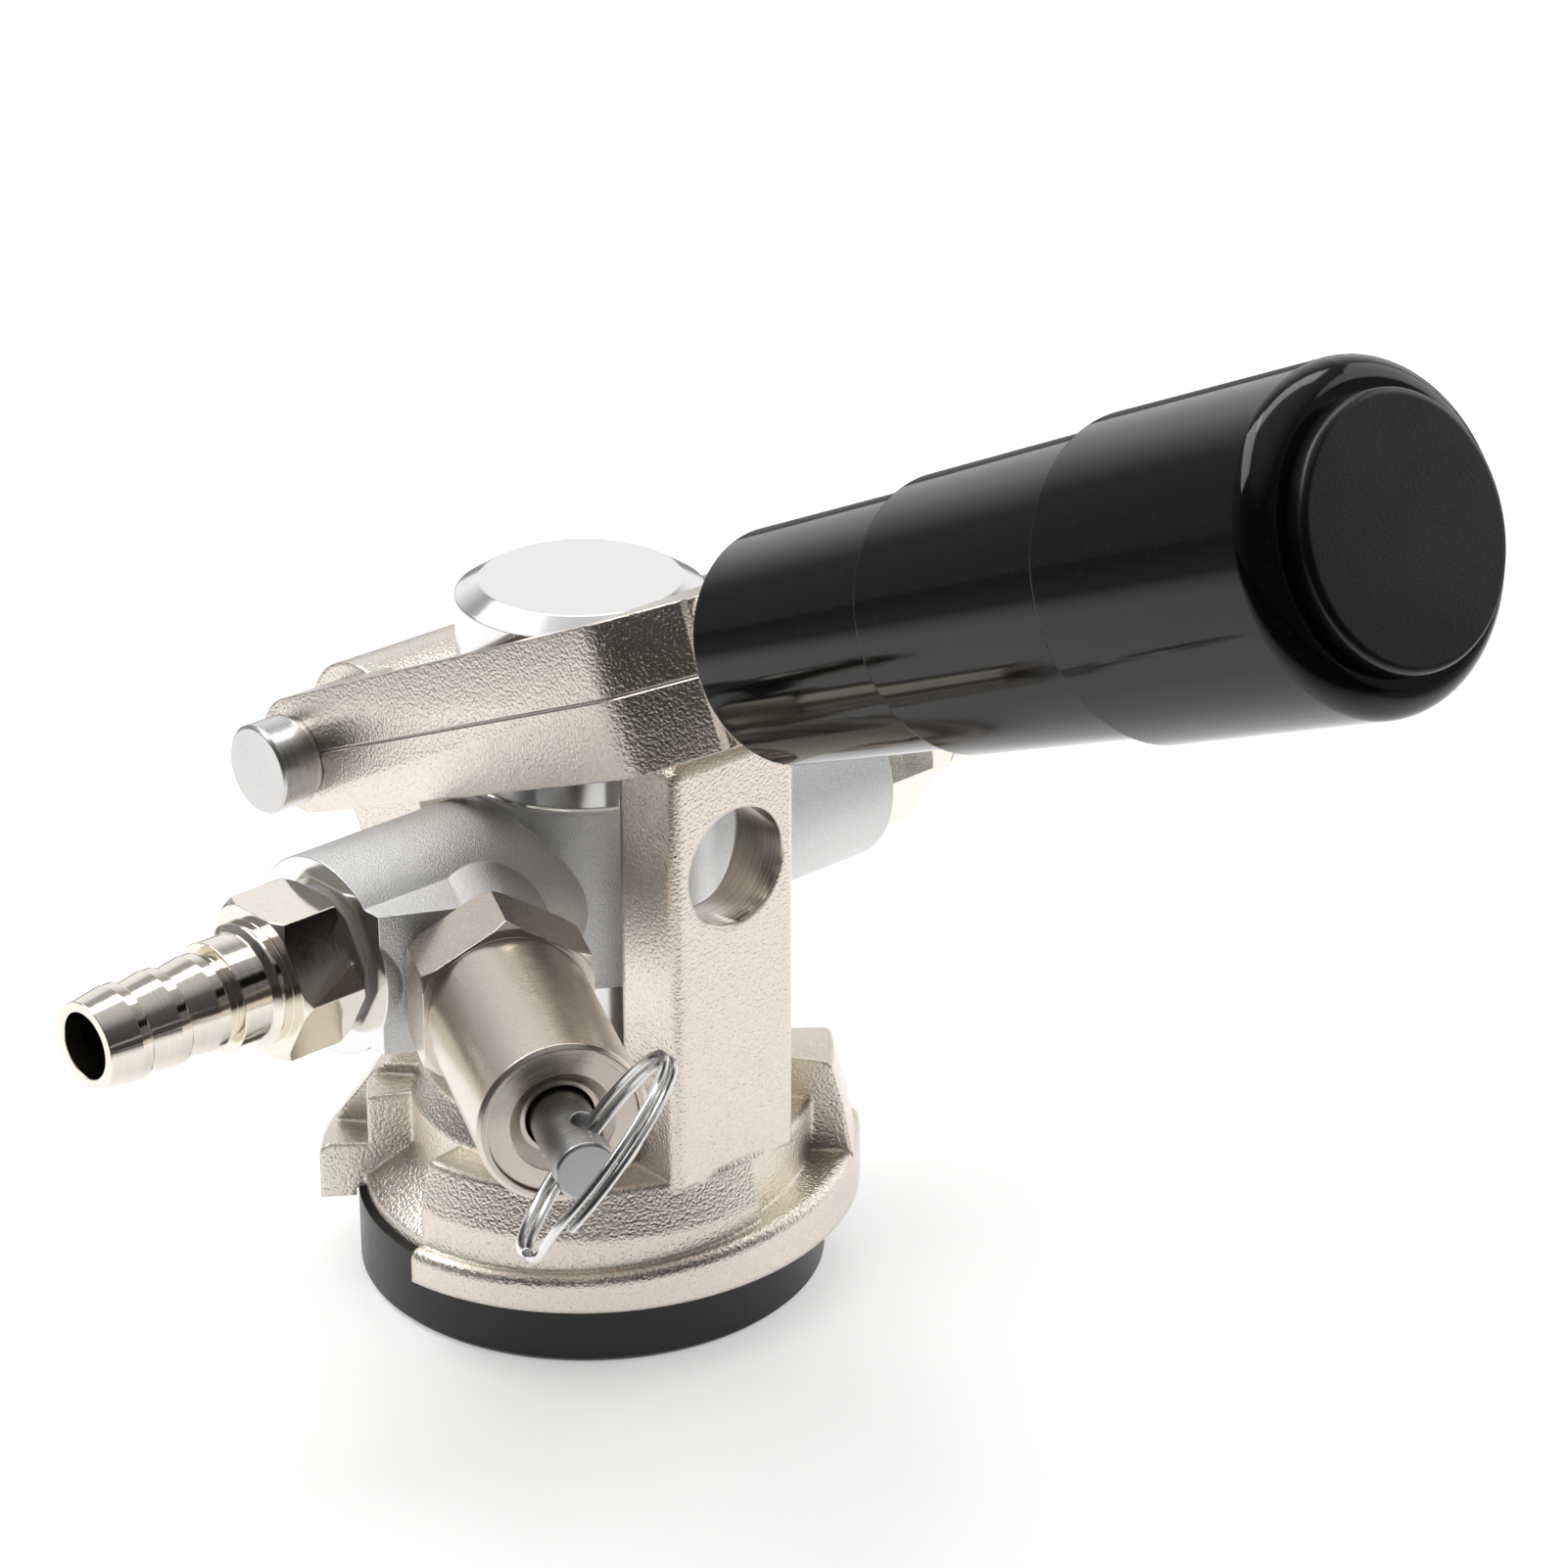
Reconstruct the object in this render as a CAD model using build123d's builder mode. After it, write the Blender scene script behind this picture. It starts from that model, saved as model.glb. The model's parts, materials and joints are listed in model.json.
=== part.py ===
from build123d import *

import os
from math import cos, radians, sin, sqrt

os.makedirs("parts", exist_ok=True)

# Keg coupler with a lever handle, a sliding probe and a pull-ring relief valve.
# The origin is the centre of the underside of the base cap. Z is up, the handle points
# towards +X, the gas arm towards -Y and the beer arm towards +Y. Sizes are millimetres.

# Clearances
running_gap = 0.08
free_gap = 0.3
slot_gap = 0.45

# Round wires and rubber rings have this many flats
wire_sides = 8

# Base cap
cap_radius = 31.0
cap_height = 11.0
cap_wall = 2.1
cap_floor = 2.5
cap_bevel = 0.8

# Probe
probe_radius = 15.93
probe_top_z = 96.2
probe_bottom_z = 19.0
probe_chamfer_height = 1.9
probe_chamfer_width = 3.08
hub_radius = 16.7
hub_low_z = 46.9
hub_high_z = 71.35
hub_round = 0.4
beer_bore_radius = 5.0
gas_bore_radius = 1.8
gas_bore_offset = 11.8
seal_ring_wire = 0.9
seal_ring_z = (21.9, 25.7)
tip_seal_outer = 9.4
tip_seal_inner = 5.6
tip_seal_height = 3.0
tip_seal_proud = 1.0

# Side arms
arm_z = 57.43
arm_radius = 12.9
arm_reach = 42.6
arm_bore_radius = 4.5
thread_radius = 6.45
thread_depth = 7.6
boss_height = 9.4
boss_corner = 13.5
boss_radius = 9.9

# Hose fittings
barb_tip_y = 78.1
barb_bore_radius = 4.26
barb_crest_radius = 6.2
barb_root_radius = 5.35
barb_pitch = 5.7
barb_ridges = 3
shoulder_radius = 7.9
fitting_hex_width = 18.6
fitting_hex_length = 9.4
hex_chamfer = 0.9
washer_thickness = 1.0
washer_radius = 9.0

# Check ball in the beer arm, and the flap valve in the gas arm
ball_radius = 5.6
ball_seat_bore = 4.0
ball_chamber_radius = 6.0
ball_seat_y = 24.0
ball_seat_thickness = 2.0
flap_flange = 1.4
flap_body_radius = 4.1
flap_length = 7.0

# Relief valve, measured along its own axis from the gas arm's centre line
valve_angle = -27.0
valve_root_y = -21.5
valve_face = 20.0
valve_hex_width = 21.1
valve_hex_length = 10.2
valve_body_radius = 10.24
valve_length = 60.0
valve_chamber_radius = 7.6
valve_rim = 1.2
valve_stem_radius = 3.7
valve_stem_end = 71.6
valve_hole_at = 66.0
valve_seat = 24.2
valve_seal_thickness = 1.5
valve_flange_thickness = 2.4
valve_flange_radius = 6.2
end_ring_thickness = 4.4
end_ring_recess = 0.6
end_dish_radius = 6.3
end_dish_depth = 1.3
relief_wire = 0.65
relief_coils = 7

# Split ring through the relief stem
split_ring_radius = 13.4
split_ring_wire = 0.55
split_ring_pitch = 1.2
split_ring_step = 40.0
split_ring_step_at = 120.0
split_hole_radius = 2.7
split_hole_tilt = 51.0
split_ring_lean = 18.0
split_ring_swing = -18.0

# Housing
flange_top_z = 13.0
flange_radius = 30.0
skirt_radius = 24.5
skirt_bottom_z = 4.5
bell_radius = 23.6
bell_foot_z = 17.5
bell_top_z = 28.4
post_bore_radius = 21.5
drum_radius = 29.5
drum_top_z = 24.5
drum_round = 0.8
ridge_radius = 31.0
ridge_z = 18.0
ridge_round = 0.7
wing_radius = 35.2
wing_centre = (-1.4, 2.0)
wing_low_z = 9.2
wing_low_slope = 0.027
wing_top_z = 15.46
wing_top_slope = 0.0813
lip_round = 1.5
front_ear = ((27.0, 30.3), (32.0, 30.0), (33.9, 23.2), (35.2, 16.0))
front_ear_sector = (38.0, 56.0)
back_ear = ((27.0, 26.0), (29.0, 24.8), (31.0, 22.0), (33.3, 19.0), (35.0, 15.5))
back_ear_sector = (205.0, 223.0)
ear_round = 1.2
wing_from = -85.0
wing_to = 56.0
apron_to = 4.0
post_face_x = 29.0
post_half_width = 10.2
post_top_z = 82.2
post_corner = 1.5
lock_hole_radius = 7.9
barrel_radius = 10.0
barrel_half_width = 9.7
back_post_foot_x = 29.2
back_post_knee_z = 53.0
lug_radius = 28.3
lug_height = 3.8
lug_sweep = 46.0
gasket_outer = 22.8
gasket_inner = 16.7
gasket_top_z = 7.0
gasket_proud = 0.8

# Lever, in its own directions: u along the handle from the pivot, v square to it
pivot_x = -34.66
pivot_z = 66.0
lever_tilt = 24.08
fork_half_width = 19.8
fork_end_radius = 8.2
fork_draft = 3.0
fork_bend_round = 8.0
fork_tail_v = 7.8
fork_top_v = 9.2
fork_bottom_v = 10.0
crotch_u = 66.4
opening_half_width = hub_radius + free_gap
opening_from_u = 20.0
opening_ramp_u = 12.5
bend_u = 68.5
neck_half_width = 12.6
neck_u = 78.0
collar_u = 80.47
collar_radius = 14.1
collar_thickness = 0.6
pin_radius = 5.0
pin_head_radius = 6.05
pin_head_y = 26.36
pin_neck_radius = 5.3
pin_neck_y = 21.0
pin_tail_y = 23.4
clip_groove_y = 20.9
clip_thickness = 1.2
clip_radius = 7.0
clip_groove_radius = 4.3
spigot_radius = 10.0
spigot_end_u = 112.0
trunnion_u = 36.3
trunnion_radius = 4.0
trunnion_reach = 12.6
trunnion_shank_radius = 2.5
trunnion_shank_depth = 2.2
trunnion_slot_depth = 4.0

# Lock plunger and handle
plunger_radius = 7.5
plunger_length = 16.0
plunger_travel = 7.5
rod_radius = 3.0
rod_end_u = 156.5
nut_width = 10.0
nut_thickness = 5.0
bush_thickness = 6.0
lock_wire = 0.7
lock_coils = 7
grip_start_u = collar_u
grip_start_radii = (14.48, 15.3)
grip_middle_u = 112.76
grip_middle_radii = (16.4, 17.4)
grip_end_u = 145.26
grip_end_radii = (18.53, 19.23)
grip_ring_u = 177.2
grip_face_u = 180.6
grip_face_radius = 16.4
grip_edge_round = 0.4
grip_web_u = 130.0
grip_web = 6.0
grip_cavity_radius = 7.2
end_disc_u = 183.16
end_disc_radius = 14.99
end_plug_u = 173.0

# Directions and places that follow from the sizes above
handle_direction = Vector(cos(radians(lever_tilt)), 0, sin(radians(lever_tilt)))
lever_up = Vector(-sin(radians(lever_tilt)), 0, cos(radians(lever_tilt)))
pivot = Vector(pivot_x, 0, pivot_z)
lever_plane = Plane(origin=pivot, x_dir=handle_direction, z_dir=lever_up)
side_plane = Plane(origin=pivot, x_dir=handle_direction, z_dir=(0, -1, 0))
handle_axis = Axis(pivot, handle_direction)
valve_direction = Vector(cos(radians(valve_angle)), sin(radians(valve_angle)), 0)
valve_side = Vector(-sin(radians(valve_angle)), cos(radians(valve_angle)), 0)
valve_root = Vector(0, valve_root_y, arm_z)
valve_profile_plane = Plane(origin=valve_root, x_dir=valve_direction, z_dir=-valve_side)
valve_axis = Axis(valve_root, valve_direction)
stroke = trunnion_u * sin(radians(lever_tilt))
guide_radius = probe_radius + free_gap
trunnion_z = pivot_z + stroke
trunnion_x = pivot_x + trunnion_u * cos(radians(lever_tilt))
slot_half_height = trunnion_radius + slot_gap
slot_half_length = trunnion_radius + slot_gap + max(-trunnion_x, pivot_x + trunnion_u)
barrel_gap = barrel_half_width + free_gap
lock_bore_radius = plunger_radius + running_gap
hex_corner = 2 / sqrt(3) / 2
fan_reach = 60.0
fan_sides = 6


def handle_plane(u):
    """Plane square to the handle, u along it from the pivot."""
    return Plane(origin=pivot + handle_direction * u, x_dir=(0, 1, 0), z_dir=handle_direction)


def valve_plane(t):
    """Plane square to the relief valve, t along it from the gas arm's centre line."""
    return Plane(origin=valve_root + valve_direction * t, x_dir=valve_side, z_dir=valve_direction)


def save(builder, name):
    """Label a finished piece and write its file."""
    builder.part.label = name
    export_step(builder.part, f"parts/{name}.step")


def coil(start, direction, wire, radius, turns, length):
    """A round-wire spring from a point, along a direction."""
    path = Helix(
        pitch=length / turns,
        height=length,
        radius=radius,
        center=start,
        direction=direction,
    )
    with BuildSketch(Plane(origin=path @ 0, z_dir=path % 0)) as section:
        RegularPolygon(wire, wire_sides)
    sweep(section.sketch, path=path, is_frenet=True)


def fan(start, end):
    """A fan wider than the housing, between two angles, in the sketch at hand."""
    step = (end - start) / fan_sides
    angles = [radians(start + step * i) for i in range(fan_sides + 1)]
    Polygon((0, 0), *[(fan_reach * cos(a), fan_reach * sin(a)) for a in angles], align=None)


# Base cap
with BuildPart() as base_cap:
    with BuildSketch(Plane.XZ):
        with BuildLine():
            Polyline(
                (0, 0),
                (cap_radius - cap_bevel, 0),
                (cap_radius, cap_bevel),
                (cap_radius, cap_height),
                (cap_radius - cap_wall, cap_height),
                (cap_radius - cap_wall, cap_floor),
                (0, cap_floor),
                close=True,
            )
        make_face()
    revolve(axis=Axis.Z)
save(base_cap, "base_cap")

# Lip of one wing: an eccentric rim that climbs and stands off further towards its ear
wing_span = wing_radius + abs(wing_centre[1])
with BuildPart() as wing_lip:
    with BuildSketch(Plane.YZ):
        Polygon(
            (-wing_span, wing_low_z - wing_low_slope * wing_span),
            (wing_span, wing_low_z + wing_low_slope * wing_span),
            (wing_span, wing_top_z + wing_top_slope * wing_span),
            (-wing_span, wing_top_z - wing_top_slope * wing_span),
            align=None,
        )
    extrude(amount=wing_span, both=True)
    with BuildSketch(Plane.XY):
        with Locations(wing_centre):
            Circle(wing_radius)
    extrude(amount=post_top_z, mode=Mode.INTERSECT)
    fillet(wing_lip.edges().sort_by(Axis.Z)[-1], radius=lip_round)
    with BuildSketch(Plane.XY):
        fan(wing_from, wing_to)
    extrude(amount=post_top_z, mode=Mode.INTERSECT)
    with BuildSketch(Plane.XY):
        Circle(cap_radius + free_gap)
    extrude(amount=cap_height, mode=Mode.SUBTRACT)


def ear(outline, sector):
    """A fin that stands on a wing, its outline turned through a sector."""
    with BuildPart() as fin:
        with BuildSketch(Plane.XZ) as fin_outline:
            Polygon(
                (bell_radius - 2, cap_height),
                (bell_radius - 2, outline[0][1]),
                *outline,
                (outline[-1][0], cap_height),
                align=None,
            )
            tops = fin_outline.vertices().filter_by(lambda p: p.X > outline[0][0] and p.Y > outline[-1][1] + 1)
            fillet(tops, radius=ear_round)
        revolve(axis=Axis.Z)
        with BuildSketch(Plane.XY.offset(cap_height)):
            fan(*sector)
        extrude(amount=post_top_z, mode=Mode.INTERSECT)
    return fin.part


# Drum under one post
with BuildPart() as drum:
    with BuildSketch(Plane.XY.offset(cap_height)):
        Circle(drum_radius)
    extrude(amount=drum_top_z - cap_height)
    fillet(drum.edges().group_by(Axis.Z)[-1], radius=drum_round)
    with BuildSketch(Plane.XY.offset(cap_height)):
        fan(wing_from, wing_to)
    extrude(amount=drum_top_z - cap_height, mode=Mode.INTERSECT)

# Sloping apron in front of the drum, with a rounded ridge above the lip
with BuildPart() as apron:
    with BuildSketch(Plane.XZ):
        with BuildLine():
            Polyline(
                (0, cap_height),
                (ridge_radius, cap_height),
                (ridge_radius, ridge_z),
                (drum_radius, drum_top_z - drum_round),
                (0, drum_top_z - drum_round),
                close=True,
            )
        make_face()
    revolve(axis=Axis.Z)
    ridge = apron.edges().filter_by(GeomType.CIRCLE).filter_by(lambda e: abs(e.center().Z - ridge_z) < 0.1)
    fillet(ridge, radius=ridge_round)
    with BuildSketch(Plane.XY.offset(cap_height)):
        fan(wing_from, apron_to)
    extrude(amount=drum_top_z - cap_height, mode=Mode.INTERSECT)

# Front post, rounded along its outer corners and chamfered round its top
with BuildPart() as front_post:
    with BuildSketch(Plane.XY.offset(drum_top_z - 1)) as post_sketch:
        with Locations((post_face_x / 2, 0)):
            Rectangle(post_face_x, 2 * post_half_width)
        fillet(post_sketch.vertices().group_by(Axis.X)[-1], radius=post_corner)
    extrude(amount=post_top_z - drum_top_z + 1)
    chamfer(front_post.edges().group_by(Axis.Z)[-1], length=post_corner)

# Housing
with BuildPart() as housing:
    with BuildSketch(Plane.XZ):
        with BuildLine():
            Polyline(
                (0, skirt_bottom_z),
                (skirt_radius, skirt_bottom_z),
                (skirt_radius, cap_height),
                (flange_radius, cap_height),
                (flange_radius, flange_top_z),
                (bell_radius, bell_foot_z),
                (bell_radius, drum_top_z),
                (post_bore_radius, bell_top_z),
                (0, bell_top_z),
                close=True,
            )
        make_face()
    revolve(axis=Axis.Z)
    for turn in (0, 180):
        add(wing_lip.part.rotate(Axis.Z, turn))
        add(drum.part.rotate(Axis.Z, turn))
        add(apron.part.rotate(Axis.Z, turn))
    add(ear(front_ear, front_ear_sector))
    add(ear(back_ear, back_ear_sector))
    # Bayonet lugs on the skirt
    with BuildSketch(Plane.XY.offset(skirt_bottom_z)) as lug_sketch:
        Circle(lug_radius)
        with BuildSketch(mode=Mode.INTERSECT):
            for turn in (0, 180):
                fan(turn - lug_sweep / 2, turn + lug_sweep / 2)
    extrude(amount=lug_height)
    add(front_post.part)
    # Back post and the barrel that holds the pivot pin
    with BuildSketch(Plane.XZ) as back_profile:
        with BuildLine():
            Polyline(
                (-post_bore_radius + 3, drum_top_z - 1),
                (-back_post_foot_x, drum_top_z - 1),
                (pivot_x - 0.6, back_post_knee_z),
                (pivot_x - barrel_radius, pivot_z),
                (pivot_x, pivot_z + barrel_radius),
                (-post_bore_radius - 3, pivot_z),
                (-post_bore_radius + 3, back_post_knee_z),
                close=True,
            )
        make_face()
    extrude(amount=barrel_half_width, both=True)
    with BuildSketch(Plane.XZ):
        with Locations((pivot_x, pivot_z)):
            Circle(barrel_radius)
    extrude(amount=barrel_half_width, both=True)
    # Room for the probe between the posts, the guide bore and the gasket seat
    with BuildSketch(Plane.XY.offset(bell_top_z)):
        Circle(post_bore_radius)
    extrude(amount=pivot_z + barrel_radius - bell_top_z + 10, mode=Mode.SUBTRACT)
    with BuildSketch(Plane.XY.offset(skirt_bottom_z)):
        Circle(guide_radius)
    extrude(amount=bell_top_z - skirt_bottom_z, mode=Mode.SUBTRACT)
    with BuildSketch(Plane.XY.offset(skirt_bottom_z)):
        Circle(gasket_outer + running_gap)
    extrude(amount=gasket_top_z - skirt_bottom_z, mode=Mode.SUBTRACT)
    with BuildSketch(Plane.XZ):
        with Locations((pivot_x, pivot_z)):
            Circle(pin_radius + running_gap)
    extrude(amount=barrel_half_width, both=True, mode=Mode.SUBTRACT)
    with BuildSketch(Plane.YZ):
        with Locations((0, pivot_z)):
            Circle(lock_hole_radius)
    extrude(amount=post_face_x, mode=Mode.SUBTRACT)
save(housing, "housing")

# Body gasket in the mouth of the housing
with BuildPart() as body_gasket:
    with BuildSketch(Plane.XY.offset(skirt_bottom_z - gasket_proud)):
        Circle(gasket_outer)
        Circle(gasket_inner, mode=Mode.SUBTRACT)
    extrude(amount=gasket_top_z - skirt_bottom_z + gasket_proud)
save(body_gasket, "body_gasket")

# Probe: the sliding body with its two side arms
ring_groove_radius = guide_radius - 2 * running_gap - 2 * seal_ring_wire
with BuildPart() as probe_body:
    with BuildSketch(Plane.XZ):
        with BuildLine():
            Polyline(
                (0, probe_bottom_z),
                (probe_radius - probe_chamfer_height / 2, probe_bottom_z),
                (probe_radius, probe_bottom_z + probe_chamfer_height / 2),
                (probe_radius, hub_low_z),
                (hub_radius, hub_low_z + hub_round),
                (hub_radius, hub_high_z - hub_round),
                (probe_radius, hub_high_z),
                (probe_radius, probe_top_z - probe_chamfer_height),
                (probe_radius - probe_chamfer_width, probe_top_z),
                (0, probe_top_z),
                close=True,
            )
        make_face()
    revolve(axis=Axis.Z)
    # Barrels of the two arms
    with BuildSketch(Plane.XZ):
        with Locations((0, arm_z)):
            Circle(arm_radius)
    extrude(amount=arm_reach, both=True)
    # Boss that carries the relief valve, with a flat web back to the gas arm's end
    face_centre = valve_root + valve_direction * valve_face
    near_corner = face_centre - valve_side * boss_corner
    with BuildSketch(Plane.XY.offset(arm_z - boss_height)):
        Polygon(
            (0, valve_root_y),
            (0, -arm_reach),
            (near_corner.X, -arm_reach),
            (near_corner.X, near_corner.Y),
            (face_centre.X, face_centre.Y),
            align=None,
        )
    extrude(amount=2 * boss_height)
    with BuildSketch(valve_plane(0)):
        Circle(boss_radius)
    extrude(amount=valve_face)
    # Ring grooves, trunnion slots and the seat of the tip seal
    for z in seal_ring_z:
        with BuildSketch(Plane.XZ):
            with Locations((ring_groove_radius + seal_ring_wire, z)):
                Rectangle(2 * seal_ring_wire, 2 * seal_ring_wire + 2 * running_gap)
        revolve(axis=Axis.Z, mode=Mode.SUBTRACT)
    for side in (-1, 1):
        slot_plane = Plane(origin=(0, side * hub_radius, trunnion_z), x_dir=(1, 0, 0), z_dir=(0, -side, 0))
        with BuildSketch(slot_plane):
            SlotOverall(2 * slot_half_length, 2 * slot_half_height)
        extrude(amount=trunnion_slot_depth + hub_radius - probe_radius, mode=Mode.SUBTRACT)
    with BuildSketch(Plane.XY.offset(probe_bottom_z)):
        Circle(tip_seal_outer + running_gap)
    extrude(amount=tip_seal_height - tip_seal_proud, mode=Mode.SUBTRACT)
    # Beer way: up the middle and out along the beer arm
    with BuildSketch(Plane.XY.offset(probe_bottom_z)):
        Circle(beer_bore_radius)
    extrude(amount=arm_z + beer_bore_radius - probe_bottom_z, mode=Mode.SUBTRACT)
    with BuildSketch(Plane.XZ):
        with Locations((0, arm_z)):
            Circle(arm_bore_radius)
    extrude(amount=-arm_reach, mode=Mode.SUBTRACT)
    with BuildSketch(Plane.XZ.offset(-ball_seat_y)):
        with Locations((0, arm_z)):
            Circle(ball_chamber_radius)
    extrude(amount=ball_seat_y - arm_reach, mode=Mode.SUBTRACT)
    # Gas way: in along the gas arm and down beside the beer way
    with BuildSketch(Plane.XZ.offset(arm_reach)):
        with Locations((0, arm_z)):
            Circle(arm_bore_radius)
    extrude(amount=-(arm_reach - gas_bore_offset + 1.5 * gas_bore_radius), mode=Mode.SUBTRACT)
    with BuildSketch(Plane.XY.offset(probe_bottom_z)):
        with Locations((0, -gas_bore_offset)):
            Circle(gas_bore_radius)
    extrude(amount=arm_z - probe_bottom_z, mode=Mode.SUBTRACT)
    # Threaded mouths of the arms and of the relief boss
    for side in (-1, 1):
        mouth = Plane(origin=(0, side * arm_reach, arm_z), x_dir=(1, 0, 0), z_dir=(0, -side, 0))
        with BuildSketch(mouth):
            Circle(thread_radius)
        extrude(amount=thread_depth, mode=Mode.SUBTRACT)
    with BuildSketch(valve_plane(valve_face)):
        Circle(thread_radius)
    extrude(amount=-thread_depth, mode=Mode.SUBTRACT)
    with BuildSketch(valve_plane(valve_face)):
        Circle(ball_seat_bore)
    extrude(amount=-valve_face, mode=Mode.SUBTRACT)
save(probe_body, "probe_body")

# Rubber rings on the probe
with BuildPart() as probe_rings:
    for z in seal_ring_z:
        with BuildSketch(Plane.XZ):
            with Locations((guide_radius - running_gap - seal_ring_wire, z)):
                RegularPolygon(seal_ring_wire, wire_sides)
        revolve(axis=Axis.Z)
save(probe_rings, "probe_rings")

# Seal at the tip of the probe
with BuildPart() as tip_seal:
    with BuildSketch(Plane.XY.offset(probe_bottom_z - tip_seal_proud)):
        Circle(tip_seal_outer)
        Circle(tip_seal_inner, mode=Mode.SUBTRACT)
    extrude(amount=tip_seal_height)
save(tip_seal, "tip_seal")

# Seat ring and check ball in the beer arm
with BuildPart() as ball_seat:
    with BuildSketch(Plane.XZ.offset(-ball_seat_y)):
        with Locations((0, arm_z)):
            Circle(ball_chamber_radius)
            Circle(ball_seat_bore, mode=Mode.SUBTRACT)
    extrude(amount=-ball_seat_thickness)
save(ball_seat, "ball_seat")

ball_rest_y = ball_seat_y + ball_seat_thickness + sqrt(ball_radius**2 - ball_seat_bore**2) + free_gap
with BuildPart() as check_ball:
    with Locations((0, ball_rest_y, arm_z)):
        Sphere(ball_radius)
save(check_ball, "check_ball")

# Flap valve in the gas arm: a flange clamped by the fitting and a tapering sleeve
flap_y = -(arm_reach - thread_depth)
with BuildPart() as gas_flap_valve:
    with BuildSketch(Plane.YZ):
        with BuildLine():
            Polyline(
                (flap_y, arm_z + flap_body_radius - 1.5),
                (flap_y, arm_z + thread_radius - running_gap),
                (flap_y - flap_flange, arm_z + thread_radius - running_gap),
                (flap_y - flap_flange, arm_z + flap_body_radius - 1.5),
                close=True,
            )
        make_face()
        with BuildLine():
            Polyline(
                (flap_y - flap_flange, arm_z + flap_body_radius - 1.5),
                (flap_y - flap_flange, arm_z + flap_body_radius),
                (flap_y + flap_length / 2, arm_z + flap_body_radius),
                (flap_y + flap_length, arm_z + 1.2),
                (flap_y + flap_length, arm_z + 0.4),
                (flap_y + flap_length / 2, arm_z + flap_body_radius - 1.5),
                close=True,
            )
        make_face()
    revolve(axis=Axis((0, 0, arm_z), (0, 1, 0)))
save(gas_flap_valve, "gas_flap_valve")


def hexagon(plane, width, length, turn=0):
    """A hexagonal flange standing on a plane, with its corners turned off at both ends."""
    with BuildPart() as flange:
        with BuildSketch(plane):
            Circle(width * hex_corner)
        extrude(amount=length)
        chamfer(flange.edges().filter_by(GeomType.CIRCLE), length=hex_chamfer)
        with BuildSketch(plane):
            RegularPolygon(width * hex_corner, 6, rotation=turn)
        extrude(amount=length, mode=Mode.INTERSECT)
    return flange.part


def hose_barb(side, name):
    """A hose fitting screwed into the arm on one side: nipple, hexagon, shoulder and barb."""
    hex_start = arm_reach + washer_thickness
    hex_end = hex_start + fitting_hex_length
    nipple_end = arm_reach - thread_depth + flap_flange + running_gap
    ridge_end = barb_tip_y - barb_ridges * barb_pitch
    outline = [
        (nipple_end, barb_bore_radius),
        (nipple_end, thread_radius - running_gap),
        (hex_start, thread_radius - running_gap),
        (hex_start, shoulder_radius),
        (hex_end + 1.6, shoulder_radius),
        (hex_end + 2.4, shoulder_radius - 0.9),
        (ridge_end - 1.5, shoulder_radius - 0.9),
        (ridge_end - 1.5, barb_root_radius),
    ]
    for ridge in range(barb_ridges):
        start = ridge_end + ridge * barb_pitch
        outline.append((start, barb_root_radius))
        outline.append((start, barb_crest_radius))
        outline.append((start + barb_pitch * 0.25, barb_crest_radius))
        outline.append((start + barb_pitch, barb_root_radius + 0.15))
    outline.append((barb_tip_y, barb_bore_radius))
    turned = [(side * y, arm_z + r) for y, r in outline]
    hex_plane = Plane(origin=(0, side * hex_start, arm_z), x_dir=(1, 0, 0), z_dir=(0, side, 0))
    hexes = hexagon(hex_plane, fitting_hex_width, fitting_hex_length)
    with BuildPart() as barb:
        with BuildSketch(Plane.YZ):
            with BuildLine():
                Polyline(*turned, close=True)
            make_face()
        revolve(axis=Axis((0, 0, arm_z), (0, 1, 0)))
        add(hexes)
        with BuildSketch(hex_plane):
            Circle(barb_bore_radius)
        extrude(amount=fitting_hex_length, mode=Mode.SUBTRACT)
    save(barb, name)


hose_barb(-1, "gas_hose_barb")
hose_barb(1, "beer_hose_barb")

# Washers under the hose fittings
for side, name in ((-1, "gas_barb_washer"), (1, "beer_barb_washer")):
    with BuildPart() as barb_washer:
        face = Plane(origin=(0, side * arm_reach, arm_z), x_dir=(1, 0, 0), z_dir=(0, side, 0))
        with BuildSketch(face):
            Circle(washer_radius)
            Circle(thread_radius, mode=Mode.SUBTRACT)
        extrude(amount=washer_thickness)
    save(barb_washer, name)

# Relief valve body: nipple, hexagon and smooth barrel
hex_at = valve_face + washer_thickness
valve_hex = hexagon(valve_plane(hex_at), valve_hex_width, valve_hex_length, 30)
with BuildPart() as relief_body:
    add(valve_hex)
    with BuildSketch(valve_profile_plane):
        with BuildLine():
            Polyline(
                (valve_face - thread_depth + 0.5, ball_seat_bore),
                (valve_face - thread_depth + 0.5, thread_radius - running_gap),
                (hex_at, thread_radius - running_gap),
                (hex_at, valve_body_radius),
                (valve_length - 0.5, valve_body_radius),
                (valve_length, valve_body_radius - 0.5),
                (valve_length, ball_seat_bore),
                close=True,
            )
        make_face()
    revolve(axis=valve_axis)
    with BuildSketch(valve_plane(hex_at)):
        Circle(ball_seat_bore)
    extrude(amount=valve_length, mode=Mode.SUBTRACT)
    with BuildSketch(valve_plane(valve_seat)):
        Circle(valve_chamber_radius)
    extrude(amount=valve_length, mode=Mode.SUBTRACT)
    with BuildSketch(valve_plane(valve_length - end_ring_recess - end_ring_thickness)):
        Circle(valve_body_radius - valve_rim)
    extrude(amount=end_ring_thickness + end_ring_recess, mode=Mode.SUBTRACT)
save(relief_body, "relief_body")

# Washer under the relief valve
with BuildPart() as relief_washer:
    with BuildSketch(valve_plane(valve_face)):
        Circle(washer_radius)
        Circle(thread_radius, mode=Mode.SUBTRACT)
    extrude(amount=washer_thickness)
save(relief_washer, "relief_washer")

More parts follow.
